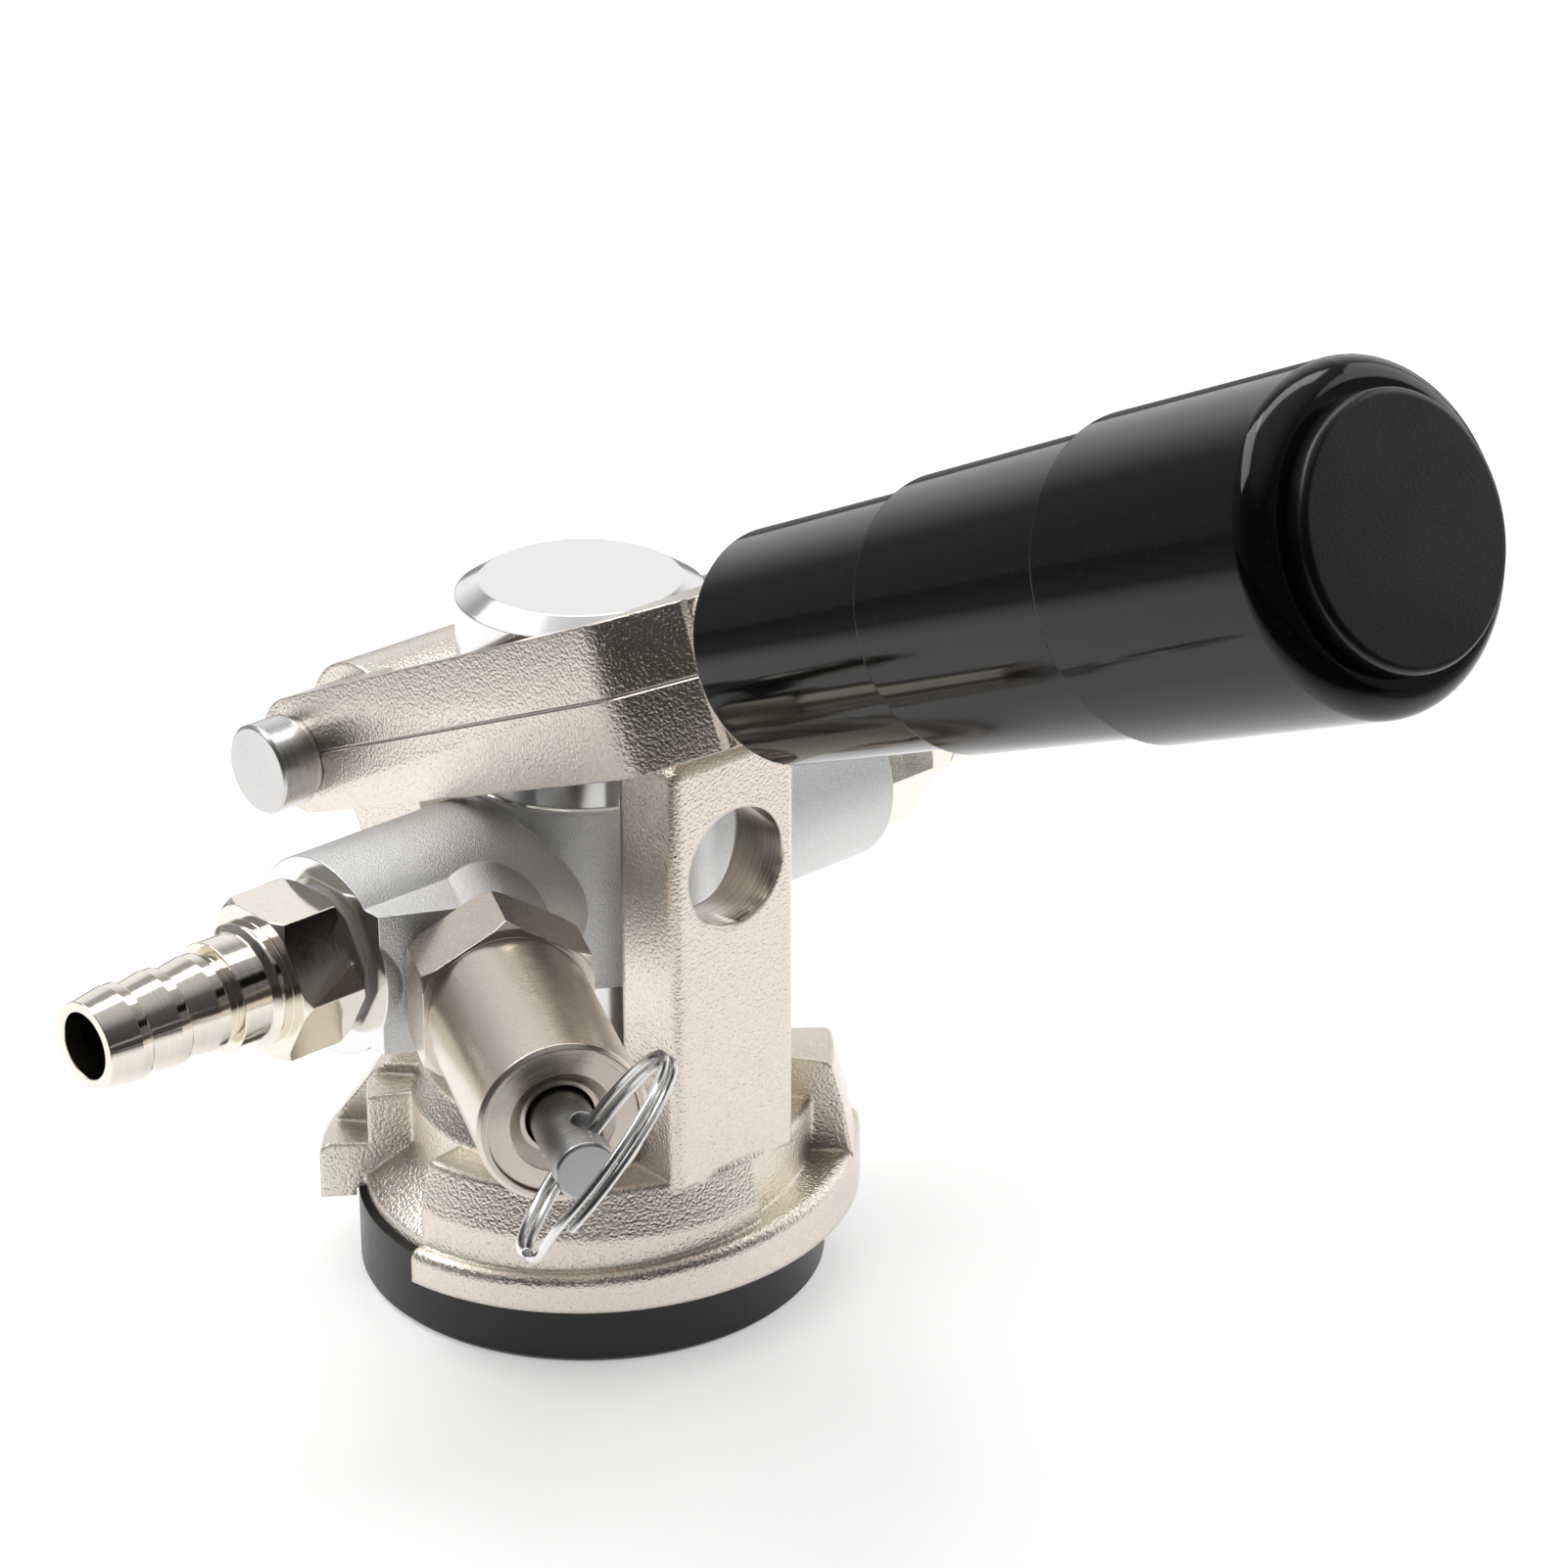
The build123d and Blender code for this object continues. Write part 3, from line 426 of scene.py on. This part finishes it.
def handling_group():
    """Slow smears and fine dust marks of a part that was handled."""
    group, given, result = new_group(
        "handling_marks",
        {"Size": 0.02},
        {"Smear": "NodeSocketFloat", "Dust": "NodeSocketFloat"},
    )
    where = group.nodes.new("ShaderNodeTexCoord").outputs["Object"]
    scale = maths(group, "DIVIDE", 1.0, given.outputs["Size"])
    smear = place(group, "ShaderNodeTexNoise", Detail=5.0, Roughness=0.55, Distortion=0.8)
    group.links.new(where, smear.inputs["Vector"])
    group.links.new(scale, smear.inputs["Scale"])
    group.links.new(ramp(group, smear.outputs["Fac"], 0.45, 0.75), result.inputs["Smear"])
    dust = place(group, "ShaderNodeTexNoise", Detail=2.0, Roughness=0.5)
    group.links.new(where, dust.inputs["Vector"])
    group.links.new(maths(group, "MULTIPLY", scale, 40.0), dust.inputs["Scale"])
    group.links.new(ramp(group, dust.outputs["Fac"], 0.62, 0.72), result.inputs["Dust"])
    return group


GROUPS = {}


def shared(name):
    """The named shader group, made the first time it is asked for."""
    makers = {
        "casting_grain": casting_grain_group,
        "turned_lines": turned_lines_group,
        "soft_edge": soft_edge_group,
        "handling_marks": handling_group,
    }
    if name not in GROUPS:
        GROUPS[name] = makers[name]()
    return GROUPS[name]


def use_group(tree, name, **inputs):
    """Places a shared group in a material with its own values."""
    node = tree.nodes.new("ShaderNodeGroup")
    node.node_tree = shared(name)
    for label, value in inputs.items():
        node.inputs[label.replace("_", " ")].default_value = value
    return node


def new_material(name, metallic, roughness):
    """A material with one Principled shader, and its tree and shader."""
    material = bpy.data.materials.new(name)
    material.use_nodes = True
    tree = material.node_tree
    shader = tree.nodes["Principled BSDF"]
    shader.inputs["Metallic"].default_value = metallic
    shader.inputs["Roughness"].default_value = roughness
    return material, tree, shader


def bump(tree, shader, height, distance, normal=None, strength=1.0):
    """A Bump node from a height socket into the shader's normal."""
    node = tree.nodes.new("ShaderNodeBump")
    node.inputs["Strength"].default_value = strength
    node.inputs["Distance"].default_value = distance
    tree.links.new(height, node.inputs["Height"])
    if normal is not None:
        tree.links.new(normal, node.inputs["Normal"])
    tree.links.new(node.outputs["Normal"], shader.inputs["Normal"])


def wear(names, material):
    """Gives the named nodes one material."""
    for name in names:
        mesh = nodes[name].data
        mesh.materials.clear()
        mesh.materials.append(material)


def deselect_all():
    """Leaves nothing selected, so that an operator acts on new pieces only."""
    bpy.ops.object.select_all(action="DESELECT")


# Finishes


def cast_nickel(name, edge_radius, seam=None, bore=None):
    """Nickel plate over a blasted casting, with a mould seam or a machined bore."""
    colours = bpy.context.scene.coupler_colours
    surface = bpy.context.scene.coupler_surface
    material, tree, shader = new_material(name, 1.0, 0.24)
    grain = use_group(tree, "casting_grain", Grain_Size=surface.grain, Mottle_Size=0.014)
    edge = use_group(tree, "soft_edge", Radius=edge_radius)
    base = mix_colours(
        tree, grain.outputs["Speckle"], shade(colours.nickel, 0.90), shade(colours.nickel, 1.05)
    )
    warm = mix_colours(tree, grain.outputs["Mottle"], shade(colours.nickel, 0.95), base)
    # Painted highlight: the nickel is made lighter along sharp edges, as if rounded edges caught the light
    lit = mix_colours(tree, edge.outputs["Edge"], warm, shade(colours.nickel, 1.12))
    rough = ramp(tree, grain.outputs["Mottle"], 0.0, 1.0, 0.20, 0.28)
    height = maths(tree, "MULTIPLY", grain.outputs["Height"], 0.5)
    if seam:
        where = tree.nodes.new("ShaderNodeTexCoord").outputs["Object"]
        offset = vector_maths(tree, "SUBTRACT", where, seam[0])
        aside = vector_maths(tree, "DOT_PRODUCT", offset, seam[1], output=1)
        on_seam = ramp(tree, maths(tree, "ABSOLUTE", aside), SEAM, SEAM_FADE, 1.0, 0.0)
        lit = mix_colours(tree, on_seam, lit, shade(colours.nickel, 0.45))
        height = maths(tree, "SUBTRACT", height, maths(tree, "MULTIPLY", on_seam, 0.8))
    if bore:
        centre, axis, radius = bore
        lines = use_group(tree, "turned_lines", Centre=centre, Axis=axis, Pitch=0.0005)
        where = tree.nodes.new("ShaderNodeTexCoord").outputs["Object"]
        offset = vector_maths(tree, "SUBTRACT", where, centre)
        across = tree.nodes.new("ShaderNodeVectorMath")
        across.operation = "LENGTH"
        tree.links.new(vector_maths(tree, "CROSS_PRODUCT", offset, axis), across.inputs[0])
        ahead = vector_maths(tree, "DOT_PRODUCT", offset, axis, output=1)
        machined = maths(
            tree,
            "MULTIPLY",
            maths(tree, "LESS_THAN", across.outputs[1], radius),
            maths(tree, "GREATER_THAN", ahead, 0),
        )
        polished = mix_colours(
            tree, lines.outputs["Streak"], shade(colours.nickel, 0.8), shade(colours.nickel, 1.2)
        )
        lit = mix_colours(tree, machined, lit, polished)
        smooth = ramp(tree, lines.outputs["Streak"], 0.0, 1.0, 0.06, 0.12)
        rough = blend(tree, machined, rough, smooth)
        low_lines = maths(tree, "MULTIPLY", lines.outputs["Height"], 0.1)
        height = blend(tree, machined, height, low_lines)
    tree.links.new(lit, shader.inputs["Base Color"])
    tree.links.new(rough, shader.inputs["Roughness"])
    bump(tree, shader, height, 0.00026, edge.outputs["Normal"], 0.8)
    return material


def probe_steel():
    """Stainless steel, blasted on the hub and arms, turned on the barrel and end faces."""
    colours = bpy.context.scene.coupler_colours
    surface = bpy.context.scene.coupler_surface
    material, tree, shader = new_material("probe_steel", 1.0, 0.34)
    where = tree.nodes.new("ShaderNodeTexCoord").outputs["Object"]
    split = tree.nodes.new("ShaderNodeSeparateXYZ")
    tree.links.new(where, split.inputs[0])
    flat = tree.nodes.new("ShaderNodeCombineXYZ")
    tree.links.new(split.outputs["X"], flat.inputs["X"])
    tree.links.new(split.outputs["Y"], flat.inputs["Y"])
    radius = tree.nodes.new("ShaderNodeVectorMath")
    radius.operation = "LENGTH"
    tree.links.new(flat.outputs[0], radius.inputs[0])
    in_barrel = maths(tree, "LESS_THAN", radius.outputs[1], BARREL_RADIUS)
    above_hub = maths(tree, "GREATER_THAN", split.outputs["Z"], HUB_TOP)
    below_hub = maths(tree, "LESS_THAN", split.outputs["Z"], HUB_FOOT)
    barrel = maths(tree, "MULTIPLY", in_barrel, maths(tree, "MAXIMUM", above_hub, below_hub))
    arm_end = maths(
        tree, "GREATER_THAN", maths(tree, "ABSOLUTE", split.outputs["Y"]), ARM_END
    )
    machined = maths(tree, "MAXIMUM", barrel, arm_end)
    blast = use_group(tree, "casting_grain", Grain_Size=surface.blast, Mottle_Size=0.009)
    lines = use_group(tree, "turned_lines", Axis=UP, Pitch=0.00016)
    edge = use_group(tree, "soft_edge", Radius=surface.edge)
    blasted = mix_colours(
        tree, blast.outputs["Speckle"], shade(colours.steel, 0.88), shade(colours.steel, 1.10)
    )
    turned = mix_colours(
        tree, lines.outputs["Streak"], shade(colours.steel, 1.10), shade(colours.steel, 1.15)
    )
    base = mix_colours(tree, machined, blasted, turned)
    # Painted highlight: the steel is made lighter along sharp edges, as if rounded edges caught the light
    lit = mix_colours(tree, edge.outputs["Edge"], base, shade(colours.steel, 1.22))
    tree.links.new(lit, shader.inputs["Base Color"])
    blasted_rough = ramp(tree, blast.outputs["Mottle"], 0.0, 1.0, 0.34, 0.44)
    turned_rough = ramp(tree, lines.outputs["Streak"], 0.0, 1.0, 0.15, 0.19)
    rough = blend(tree, machined, blasted_rough, turned_rough)
    tree.links.new(rough, shader.inputs["Roughness"])
    fine = maths(tree, "MULTIPLY", lines.outputs["Height"], 0.015)
    height = blend(tree, machined, blast.outputs["Height"], fine)
    bump(tree, shader, height, 0.00014, edge.outputs["Normal"], 0.7)
    return material


def turned_metal(name, colour, centre, axis, low, high, pitch=0.00016, depth=0.000006):
    """A turned or brushed metal: fine rings about its own axis, and soft edges."""
    surface = bpy.context.scene.coupler_surface
    material, tree, shader = new_material(name, 1.0, (low + high) / 2)
    lines = use_group(tree, "turned_lines", Centre=centre, Axis=axis, Pitch=pitch)
    marks = use_group(tree, "handling_marks", Size=0.012)
    edge = use_group(tree, "soft_edge", Radius=surface.edge * 0.7)
    base = mix_colours(tree, lines.outputs["Streak"], shade(colour, 0.93), shade(colour, 1.05))
    # Painted highlight: the metal is made lighter along sharp edges, as if rounded edges caught the light
    lit = mix_colours(tree, edge.outputs["Edge"], base, shade(colour, 1.15))
    tree.links.new(lit, shader.inputs["Base Color"])
    rough = ramp(tree, lines.outputs["Streak"], 0.0, 1.0, low, high)
    smear = maths(tree, "MULTIPLY", marks.outputs["Smear"], 0.05)
    tree.links.new(maths(tree, "ADD", rough, smear), shader.inputs["Roughness"])
    bump(tree, shader, lines.outputs["Height"], depth, edge.outputs["Normal"], 0.5)
    return material


def gloss_plastic():
    """Gloss black moulding with faint smears and dust."""
    colours = bpy.context.scene.coupler_colours
    material, tree, shader = new_material("gloss_plastic", 0.0, 0.1)
    marks = use_group(tree, "handling_marks", Size=0.03)
    edge = use_group(tree, "soft_edge", Radius=0.00035)
    dusted = mix_colours(tree, marks.outputs["Dust"], colours.plastic, (0.010, 0.0095, 0.0095))
    tree.links.new(dusted, shader.inputs["Base Color"])
    rough = ramp(tree, marks.outputs["Smear"], 0.0, 1.0, 0.075, 0.13)
    worn = maths(tree, "MULTIPLY", edge.outputs["Edge"], 0.15)
    tree.links.new(maths(tree, "ADD", rough, worn), shader.inputs["Roughness"])
    shader.inputs["IOR"].default_value = 1.44
    bump(tree, shader, marks.outputs["Smear"], 0.00002, edge.outputs["Normal"], 0.15)
    return material


def satin_plastic(name, colour, low, high, grain):
    """Satin black moulding with a fine leather-like grain."""
    material, tree, shader = new_material(name, 0.0, (low + high) / 2)
    skin = use_group(tree, "casting_grain", Grain_Size=grain, Mottle_Size=0.01)
    edge = use_group(tree, "soft_edge", Radius=0.0004)
    base = mix_colours(tree, skin.outputs["Mottle"], shade(colour, 0.8), shade(colour, 1.3))
    # Painted highlight: the moulding is made lighter along sharp edges, as if rounded edges caught the light
    lit = mix_colours(tree, edge.outputs["Edge"], base, shade(colour, 2.2))
    tree.links.new(lit, shader.inputs["Base Color"])
    rough = ramp(tree, skin.outputs["Mottle"], 0.0, 1.0, low, high)
    tree.links.new(rough, shader.inputs["Roughness"])
    bump(tree, shader, skin.outputs["Height"], 0.00003, edge.outputs["Normal"], 0.25)
    return material


def rounded_casting(node, width):
    """Stands a copy with rounded edges in a casting's place, and returns it."""
    source = nodes[node]
    piece = bpy.data.objects.new(f"{node}_rounded", source.data.copy())
    bpy.context.scene.collection.objects.link(piece)
    deselect_all()
    piece.select_set(True)
    bpy.context.view_layer.objects.active = piece
    bpy.ops.object.mode_set(mode="EDIT")
    bpy.ops.mesh.select_all(action="SELECT")
    bpy.ops.mesh.remove_doubles(threshold=MERGE)
    bpy.ops.mesh.dissolve_limited(angle_limit=FLAT)
    bpy.ops.object.mode_set(mode="OBJECT")
    bpy.ops.object.modifier_add(type="BEVEL")
    rounding = piece.modifiers[-1]
    rounding.width = width
    rounding.segments = 3
    rounding.limit_method = "ANGLE"
    rounding.angle_limit = SHARP
    bpy.ops.object.modifier_apply(modifier=rounding.name)
    bpy.ops.object.shade_smooth_by_angle(angle=SHARP)
    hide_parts(node)
    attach(piece, bodies[node])
    return piece


class COUPLER_OT_castings(bpy.types.Operator):
    """Finish the housing and the lever as nickel-plated castings"""

    bl_idname = "coupler.castings"
    bl_label = "Castings"

    def execute(self, context):
        rim = context.scene.coupler_surface.rim
        bore = (Vector((0, 0, PIVOT.z)), Vector((1, 0, 0)), LOCK_HOLE)
        wear(["housing"], cast_nickel("cast_nickel", rim, bore=bore))
        fork = rounded_casting("lever_fork", rim)
        lever_up = HANDLE.cross(ALONG_ARMS) * -1
        fork.data.materials.clear()
        fork.data.materials.append(
            cast_nickel("lever_nickel", context.scene.coupler_surface.edge, (PIVOT, lever_up))
        )
        return {"FINISHED"}


class COUPLER_OT_probe(bpy.types.Operator):
    """Finish the probe, blasted on its hub and arms and turned on its barrel"""

    bl_idname = "coupler.probe"
    bl_label = "Probe"

    def execute(self, context):
        wear(["probe_body"], probe_steel())
        return {"FINISHED"}


class COUPLER_OT_fittings(bpy.types.Operator):
    """Finish the hose fittings in bright nickel, and their washers"""

    bl_idname = "coupler.fittings"
    bl_label = "Hose fittings"

    def execute(self, context):
        colours = context.scene.coupler_colours
        centre = Vector((0, 0, ARM_Z))
        bright = turned_metal(
            "bright_nickel", colours.bright_nickel, centre, ALONG_ARMS, 0.06, 0.13, depth=0.000002
        )
        wear(["gas_hose_barb", "beer_hose_barb"], bright)
        fibre = satin_plastic("fibre_washer", (0.42, 0.40, 0.37), 0.5, 0.7, 0.0003)
        wear(["gas_barb_washer", "beer_barb_washer", "relief_washer"], fibre)
        return {"FINISHED"}


class COUPLER_OT_relief_valve(bpy.types.Operator):
    """Finish the relief valve, its stem and its ring"""

    bl_idname = "coupler.relief_valve"
    bl_label = "Relief valve"

    def execute(self, context):
        colours = context.scene.coupler_colours
        satin = turned_metal(
            "satin_nickel", colours.valve_nickel, STEM_HOLE, VALVE, 0.20, 0.34, depth=0.00001
        )
        wear(["relief_body", "relief_end_ring"], satin)
        stem = turned_metal(
            "stem_steel", colours.dull_steel, STEM_HOLE, VALVE, 0.24, 0.38, depth=0.00001
        )
        wear(["relief_stem"], stem)
        return {"FINISHED"}


class COUPLER_OT_pins(bpy.types.Operator):
    """Finish the pivot pin and the small turned steel pieces"""

    bl_idname = "coupler.pins"
    bl_label = "Pins"

    def execute(self, context):
        colours = context.scene.coupler_colours
        pin = turned_metal(
            "pin_steel", shade(colours.dull_steel, 1.2), PIVOT, ALONG_ARMS, 0.22, 0.34
        )
        wear(["pivot_pin", "trunnion_pins"], pin)
        rod = turned_metal("rod_steel", colours.dull_steel, PIVOT, HANDLE, 0.2, 0.3)
        wear(["lock_plunger", "rod_nut", "spring_bush"], rod)
        return {"FINISHED"}


class COUPLER_OT_wires(bpy.types.Operator):
    """Finish the split ring, the springs, the clip and the ball in bright steel"""

    bl_idname = "coupler.wires"
    bl_label = "Wires"

    def execute(self, context):
        colours = context.scene.coupler_colours
        wire = turned_metal(
            "wire_steel", shade(colours.steel, 1.05), STEM_HOLE, UP, 0.12, 0.2, depth=0.000002
        )
        wear(["split_ring", "relief_spring", "lock_spring", "pivot_clip"], wire)
        wear(["check_ball", "ball_seat"], wire)
        return {"FINISHED"}


class COUPLER_OT_grip(bpy.types.Operator):
    """Finish the grip in gloss black and its end cap in satin black"""

    bl_idname = "coupler.grip"
    bl_label = "Grip"

    def execute(self, context):
        colours = context.scene.coupler_colours
        wear(["grip"], gloss_plastic())
        end = satin_plastic("end_cap_plastic", colours.cap_plastic, 0.26, 0.34, 0.0004)
        wear(["grip_end_cap"], end)
        return {"FINISHED"}


class COUPLER_OT_cap_and_seals(bpy.types.Operator):
    """Finish the base cap in satin black plastic and the seals in rubber"""

    bl_idname = "coupler.cap_and_seals"
    bl_label = "Base cap and seals"

    def execute(self, context):
        colours = context.scene.coupler_colours
        cap = satin_plastic("cap_plastic", colours.cap_plastic, 0.30, 0.40, 0.0005)
        wear(["base_cap"], cap)
        rubber = satin_plastic("seal_rubber", (0.018, 0.018, 0.019), 0.5, 0.65, 0.0003)
        wear(["body_gasket", "tip_seal", "probe_rings", "relief_seal", "gas_flap_valve"], rubber)
        return {"FINISHED"}


def softbox(name, place_at, look_at, width, depth, power):
    """An area lamp that looks at a point."""
    lamp = bpy.data.lights.new(name, "AREA")
    lamp.shape = "RECTANGLE"
    lamp.size = width
    lamp.size_y = depth
    lamp.energy = power
    holder = bpy.data.objects.new(name, lamp)
    bpy.context.scene.collection.objects.link(holder)
    holder.location = place_at
    holder.rotation_euler = (look_at - place_at).to_track_quat("-Z", "Y").to_euler()
    return holder


def studio_world(brightness, towards_camera):
    """White to the camera; for the rest a white sweep behind the coupler and a dark room."""
    world = bpy.data.worlds.new("studio")
    world.use_nodes = True
    bpy.context.scene.world = world
    tree = world.node_tree
    tree.nodes.clear()
    where = tree.nodes.new("ShaderNodeTexCoord").outputs["Generated"]
    facing = vector_maths(tree, "DOT_PRODUCT", where, towards_camera, output=1)
    sweep = ramp(tree, facing, *SWEEP_FADE, 1.0, 0.0)
    split = tree.nodes.new("ShaderNodeSeparateXYZ")
    tree.links.new(where, split.inputs[0])
    ceiling = ramp(tree, split.outputs["Z"], *CEILING_SPAN, 0.0, CEILING_GLOW)
    side = ramp(tree, facing, *WALL_SPAN, *WALL_GLOW)
    level = maths(tree, "ADD", maths(tree, "MAXIMUM", sweep, side), ceiling, clamp=True)
    shell = tree.nodes.new("ShaderNodeBackground")
    shell.inputs["Color"].default_value = (1, 1, 1, 1)
    tree.links.new(maths(tree, "MULTIPLY", level, brightness), shell.inputs["Strength"])
    backdrop = tree.nodes.new("ShaderNodeBackground")
    backdrop.inputs["Color"].default_value = (1, 1, 1, 1)
    path = tree.nodes.new("ShaderNodeLightPath")
    choose = tree.nodes.new("ShaderNodeMixShader")
    tree.links.new(path.outputs["Is Camera Ray"], choose.inputs[0])
    tree.links.new(shell.outputs[0], choose.inputs[1])
    tree.links.new(backdrop.outputs[0], choose.inputs[2])
    output = tree.nodes.new("ShaderNodeOutputWorld")
    tree.links.new(choose.outputs[0], output.inputs["Surface"])


def floor_material(towards_camera):
    """White sweep that keeps the coupler's shadow, mirrored darker in front and far off."""
    material = bpy.data.materials.new("floor")
    material.use_nodes = True
    tree = material.node_tree
    tree.nodes.clear()
    matte = tree.nodes.new("ShaderNodeBsdfDiffuse")
    matte.inputs["Color"].default_value = (0.86, 0.86, 0.86, 1)
    glow = tree.nodes.new("ShaderNodeEmission")
    add = tree.nodes.new("ShaderNodeAddShader")
    tree.links.new(matte.outputs[0], add.inputs[0])
    tree.links.new(glow.outputs[0], add.inputs[1])
    where = tree.nodes.new("ShaderNodeNewGeometry").outputs["Position"]
    near = vector_maths(tree, "DOT_PRODUCT", where, towards_camera, output=1)
    rays = tree.nodes.new("ShaderNodeLightPath")
    seen = maths(tree, "MULTIPLY", rays.outputs["Is Camera Ray"], FLOOR_SEEN)
    mirrored = maths(tree, "MULTIPLY", rays.outputs["Is Glossy Ray"], FLOOR_MIRRORED)
    tree.links.new(maths(tree, "ADD", seen, mirrored), glow.inputs["Strength"])
    reach = tree.nodes.new("ShaderNodeVectorMath")
    reach.operation = "LENGTH"
    tree.links.new(where, reach.inputs[0])
    far = ramp(tree, reach.outputs[1], *FLOOR_FAR, 0.0, FAR_SHARE)
    gloom = maths(tree, "MAXIMUM", ramp(tree, near, *FLOOR_FRONT), far)
    shaded = maths(tree, "MULTIPLY", gloom, rays.outputs["Is Glossy Ray"])
    dark = tree.nodes.new("ShaderNodeBsdfDiffuse")
    dark.inputs["Color"].default_value = (0.05, 0.045, 0.04, 1)
    choose = tree.nodes.new("ShaderNodeMixShader")
    tree.links.new(shaded, choose.inputs[0])
    tree.links.new(add.outputs[0], choose.inputs[1])
    tree.links.new(dark.outputs[0], choose.inputs[2])
    output = tree.nodes.new("ShaderNodeOutputMaterial")
    tree.links.new(choose.outputs[0], output.inputs["Surface"])
    return material


class COUPLER_OT_stage(bpy.types.Operator):
    """Set the floor, the lamps, the studio and the camera"""

    bl_idname = "coupler.stage"
    bl_label = "Stage"

    def execute(self, context):
        view = context.scene.coupler_view
        azimuth, elevation = view.azimuth, view.elevation
        right = Vector((cos(azimuth), sin(azimuth), 0))
        level = Vector((sin(azimuth), -cos(azimuth), 0))
        back = level * cos(elevation) + UP * sin(elevation)
        rise = back.cross(right)
        target = right * view.sideways + UP * view.height

        deselect_all()
        bpy.ops.mesh.primitive_grid_add(x_subdivisions=8, y_subdivisions=8, size=6)
        floor = context.active_object
        floor.name = "floor"
        floor.data.materials.append(floor_material(level))

        camera = bpy.data.cameras.new("camera")
        camera.sensor_width = 36
        camera.lens = view.lens
        camera.clip_start = 0.01
        holder = bpy.data.objects.new("camera", camera)
        context.scene.collection.objects.link(holder)
        turn = Matrix((right, rise, back)).transposed().to_4x4()
        holder.matrix_world = Matrix.Translation(target + back * view.distance) @ turn
        context.scene.camera = holder

        key_place = right * -0.55 + UP * 0.8 + level * -0.1
        fill_place = right * 0.8 + UP * 0.45 + level * -0.3
        top_place = UP * 0.9 + level * -0.3
        softbox("key", key_place, target, width=0.8, depth=0.34, power=view.key)
        softbox("fill", fill_place, target, width=0.7, depth=0.7, power=view.fill)
        softbox("top", top_place, target, width=0.9, depth=0.24, power=view.key * 0.8)
        studio_world(view.world, level)
        context.scene.view_settings.view_transform = "Standard"
        return {"FINISHED"}


class COUPLER_PT_panel(bpy.types.Panel):
    """Lists the coupler's finishes and the stage"""

    bl_idname = "COUPLER_PT_panel"
    bl_label = "Coupler"
    bl_space_type = "VIEW_3D"
    bl_region_type = "UI"
    bl_category = "Coupler"

    def draw(self, context):
        layout = self.layout
        for settings in ("coupler_colours", "coupler_surface", "coupler_view"):
            group = getattr(context.scene, settings)
            box = layout.box()
            for name in group.bl_rna.properties.keys():
                if name not in ("rna_type", "name"):
                    box.prop(group, name)
        for operator in OPERATORS:
            layout.operator(operator.bl_idname)


SETTINGS = (
    ("coupler_colours", CouplerColours),
    ("coupler_surface", CouplerSurface),
    ("coupler_view", CouplerView),
)
OPERATORS = (
    COUPLER_OT_castings,
    COUPLER_OT_probe,
    COUPLER_OT_fittings,
    COUPLER_OT_relief_valve,
    COUPLER_OT_pins,
    COUPLER_OT_wires,
    COUPLER_OT_grip,
    COUPLER_OT_cap_and_seals,
    COUPLER_OT_stage,
)


def register():
    for name, group in SETTINGS:
        bpy.utils.register_class(group)
        setattr(bpy.types.Scene, name, PointerProperty(type=group))
    for operator in OPERATORS:
        bpy.utils.register_class(operator)
    bpy.utils.register_class(COUPLER_PT_panel)


def unregister():
    bpy.utils.unregister_class(COUPLER_PT_panel)
    for operator in reversed(OPERATORS):
        bpy.utils.unregister_class(operator)
    for name, group in reversed(SETTINGS):
        delattr(bpy.types.Scene, name)
        bpy.utils.unregister_class(group)


def main():
    register()
    bpy.ops.coupler.castings()
    bpy.ops.coupler.probe()
    bpy.ops.coupler.fittings()
    bpy.ops.coupler.relief_valve()
    bpy.ops.coupler.pins()
    bpy.ops.coupler.wires()
    bpy.ops.coupler.grip()
    bpy.ops.coupler.cap_and_seals()
    bpy.ops.coupler.stage()


if __name__ == "__main__":
    main()
